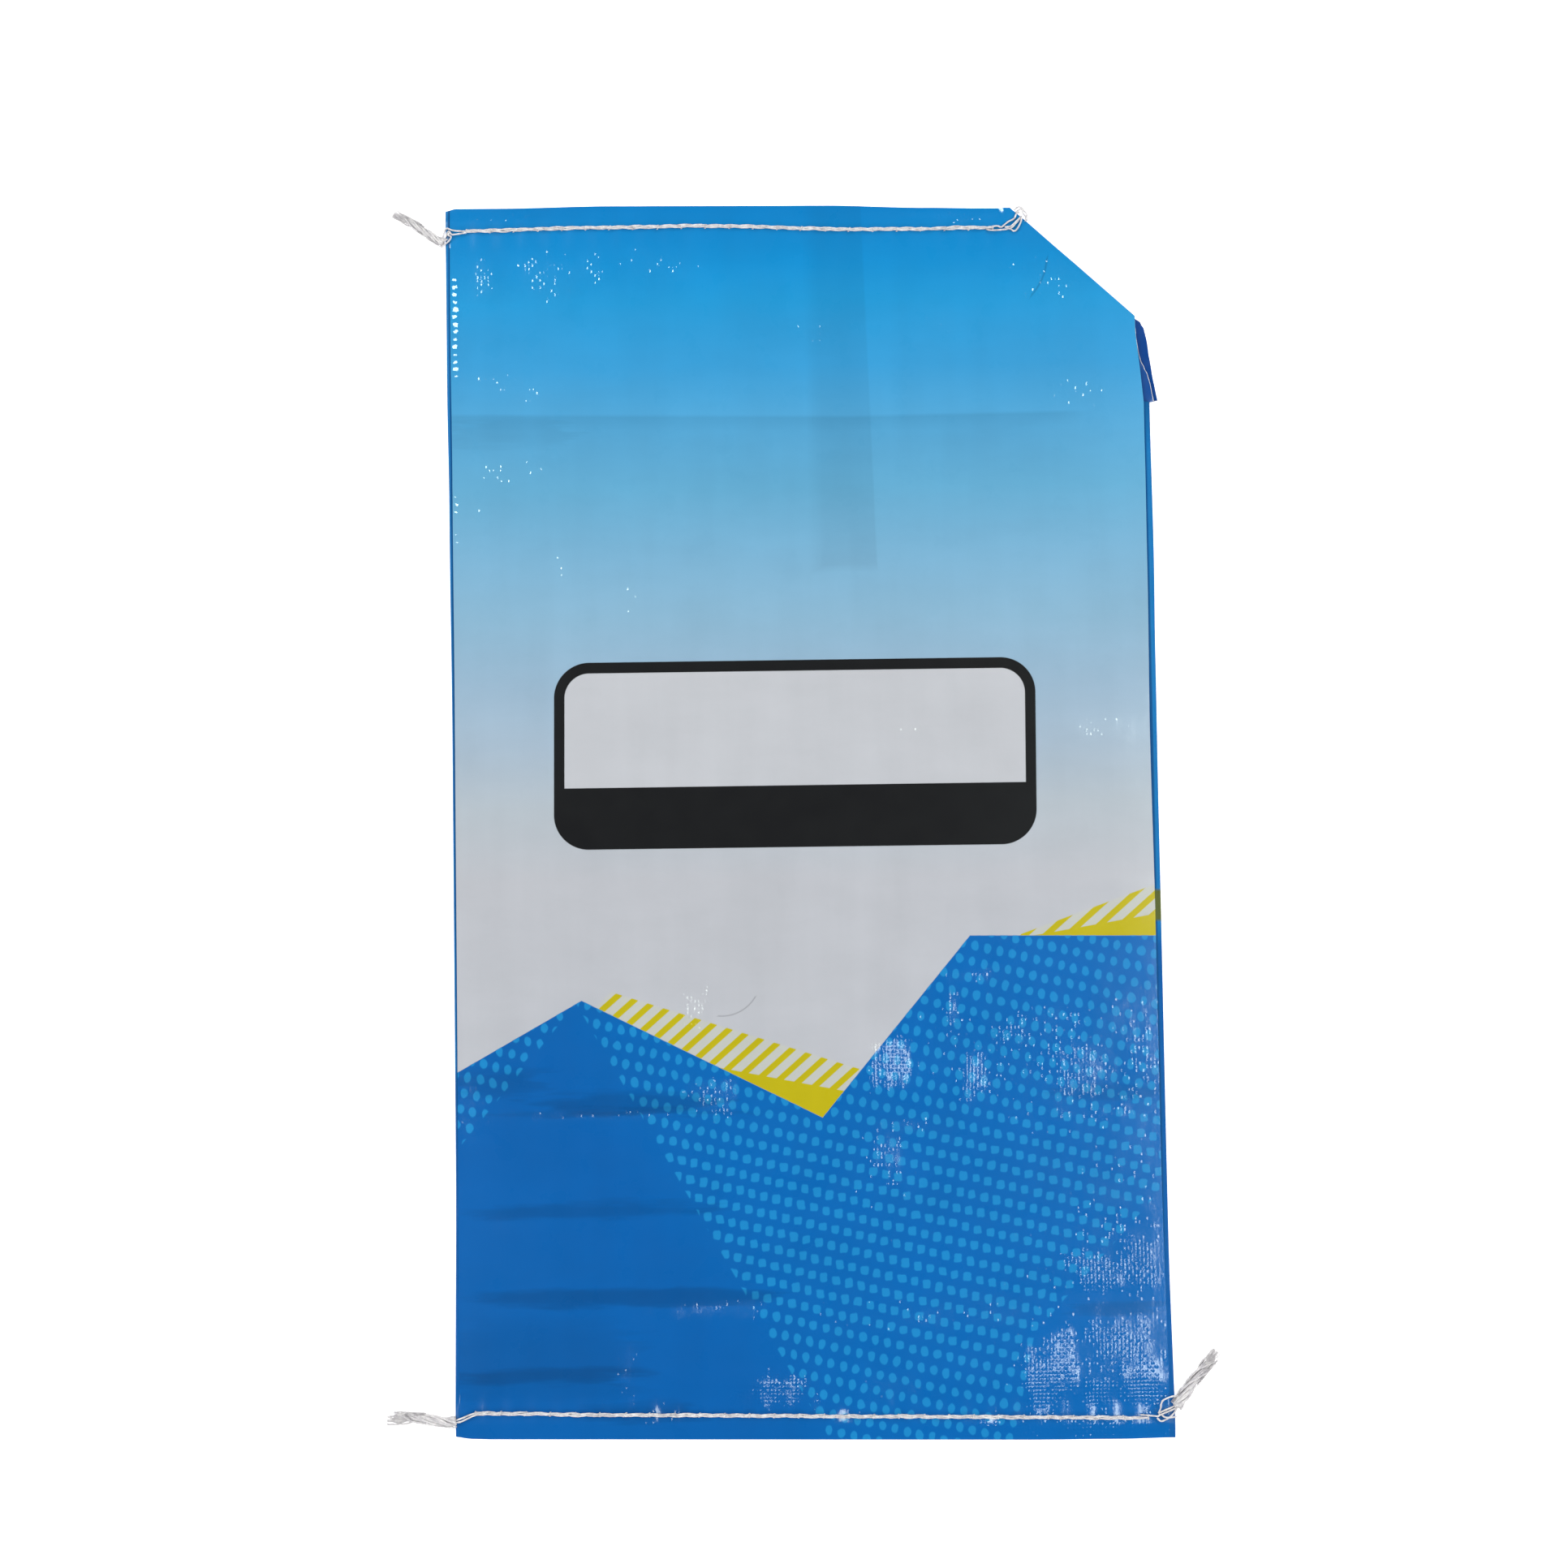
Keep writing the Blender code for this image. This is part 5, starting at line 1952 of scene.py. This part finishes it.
@dataclass
class Studio:
    """White floor, pale surroundings, soft lamps all round and the photograph's camera."""

    # The camera: its place, its turn, roll and tilt in degrees, and its lens and sensor in millimetres
    eye: tuple = (-0.0008, -0.09113, 1.6)
    turn: float = -0.871
    roll: float = 0.46
    tilt: float = 3.886
    lens: float = 64.77
    sensor: float = 36.0
    # Colour of the lamps that show in gloss, and the surroundings' strength for light and in gloss
    gloss_tint: tuple = (0.90, 1.0, 0.93)
    room_light: float = 0.34
    room_gloss: float = 0.08
    # The floor's two whites, its own glow, its half width and how far it lies below the sack
    floor_whites: tuple = ("f0f0f0", "f6f6f6")
    floor_glow: float = 0.6
    floor_reach: float = 6.0
    floor_drop: float = 0.00005
    lamps: tuple = (
        Lamp("left_lamp", (-2.2, 0.2, 1.7), (1.4, 1.4), 36.0, (0, 0, 0)),
        Lamp("right_lamp", (2.2, -0.1, 1.7), (1.4, 1.4), 36.0, (0, 0, 0)),
        Lamp("far_lamp", (0.2, 2.3, 1.8), (1.4, 1.4), 30.0, (0, 0, 0)),
        Lamp("near_lamp", (-0.2, -2.5, 1.6), (1.4, 1.4), 30.0, (0, 0, 0)),
        Lamp("right_strip", (0.52, -0.22, 1.6), (0.14, 0.98), 6.0, gloss_only=True),
        Lamp("left_low_strip", (-0.62, -0.45, 1.6), (0.12, 0.50), 2.5, gloss_only=True),
        Lamp("right_top_strip", (0.76, 0.66, 1.6), (0.30, 0.80), 17.0, gloss_only=True),
        Lamp("left_top_strip", (-0.76, 0.66, 1.6), (0.30, 0.80), 17.0, gloss_only=True),
    )

    def build(self) -> None:
        """Builds the camera, the lamps, the surroundings and the floor."""
        scene = bpy.context.scene
        camera_data = bpy.data.cameras.new("camera")
        camera_data.lens = self.lens
        camera_data.sensor_width = self.sensor
        camera = bpy.data.objects.new("camera", camera_data)
        scene.collection.objects.link(camera)
        rotation = Matrix.Rotation(math.radians(self.turn), 4, "Z")
        rotation = rotation @ Matrix.Rotation(math.radians(self.roll), 4, "Y")
        rotation = rotation @ Matrix.Rotation(math.radians(self.tilt), 4, "X")
        camera.matrix_world = Matrix.Translation(self.eye) @ rotation
        scene.camera = camera
        for lamp in self.lamps:
            self.add_lamp(lamp)
        self.surround(scene)
        self.lay_floor(scene)
        scene.view_settings.view_transform = "Standard"
        log.info("studio: %d lamps", len(self.lamps))

    def add_lamp(self, lamp: Lamp) -> None:
        """Hangs one lamp.

        Args:
            lamp: The lamp.
        """
        data = bpy.data.lights.new(lamp.name, "AREA")
        data.shape = "RECTANGLE"
        data.size, data.size_y = lamp.size
        data.energy = lamp.power
        data.color = self.gloss_tint if lamp.gloss_only else (1.0, 1.0, 1.0)
        made = bpy.data.objects.new(lamp.name, data)
        made.location = lamp.place
        if lamp.aim:
            aim = Vector(lamp.aim) - Vector(lamp.place)
            made.rotation_euler = aim.to_track_quat("-Z", "Y").to_euler()
        made.visible_camera = False
        made.visible_diffuse = not lamp.gloss_only
        made.visible_glossy = lamp.gloss_only
        bpy.context.scene.collection.objects.link(made)

    def surround(self, scene: bpy.types.Scene) -> None:
        """Makes it white behind the floor's far edge, pale all round for light, and dark for gloss.

        Args:
            scene: The scene that it is for.
        """
        world = bpy.data.worlds.new("studio")
        scene.world = world
        world.use_nodes = True
        tree = world.node_tree
        rays = add_node(tree, "LightPath").outputs
        dim = (rays["Is Glossy Ray"], self.room_light, self.room_gloss)
        dim = add_node(tree, "Mix", dim, data_type="FLOAT")
        level = add_node(tree, "Mix", (rays["Is Camera Ray"], dim, 1.0), data_type="FLOAT")
        feed(tree, tree.nodes["Background"], {"Color": (1.0, 1.0, 1.0, 1.0), "Strength": level})

    def lay_floor(self, scene: bpy.types.Scene) -> None:
        """Lays a white sweep that is bright enough to lose its own shadows.

        Args:
            scene: The scene that it lies in.
        """
        shape = bmesh.new()
        bmesh.ops.create_grid(shape, x_segments=1, y_segments=1, size=self.floor_reach)
        mesh = bpy.data.meshes.new("floor")
        shape.to_mesh(mesh)
        shape.free()
        floor = bpy.data.objects.new("floor", mesh)
        floor.location.z = -self.floor_drop
        scene.collection.objects.link(floor)
        made, tree, shader = new_material("white_paper_sweep")
        grain = add_node(tree, "TexNoise", {"Scale": 900.0, "Detail": 2.0})
        whites = [hex_colour(white) for white in self.floor_whites]
        finish = {
            "Base Color": add_node(tree, "Mix", (grain, *whites), data_type="RGBA"),
            "Roughness": 0.9,
            "Emission Color": (1.0, 1.0, 1.0, 1.0),
            "Emission Strength": self.floor_glow,
        }
        feed(tree, shader, finish)
        mesh.materials.append(made)


def main() -> None:
    """Loads the frame, builds the studio, the tails, the sack, the sleeve and the seams, in that order."""
    logging.basicConfig(level=logging.INFO, format="%(name)s: %(message)s")
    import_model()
    Studio().build()
    thread = SpunThread().make()
    for tail in TAILS:
        tail.build(thread)
    film = LaminatedFilm().make()
    plain = LaminatedFilm("gloss_laminated_plain_blue_film", printed=False, spill_in_shade="566033", coat=0.12).make()
    sleeve = LaminatedFilm("gloss_laminated_dark_blue_film", printed=False, colour="18488a", coat=0.15).make()
    navy = LaminatedFilm("gloss_laminated_navy_film", printed=False, colour="0c3e83", coat=0.12).make()
    bare = BareWeave().make()
    SackBody(Relief()).build(film, plain, bare)
    ValveSleeve().build(sleeve, navy, bare)
    SewnSeam("top", TOP_SEAM, TOP_HOLES, End.TOP, TOP_LOOPS).build(thread)
    SewnSeam("bottom", BOTTOM_SEAM, BOTTOM_HOLES, End.BOTTOM, BOTTOM_LOOPS).build(thread)
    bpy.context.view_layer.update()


if __name__ == "__main__":
    main()
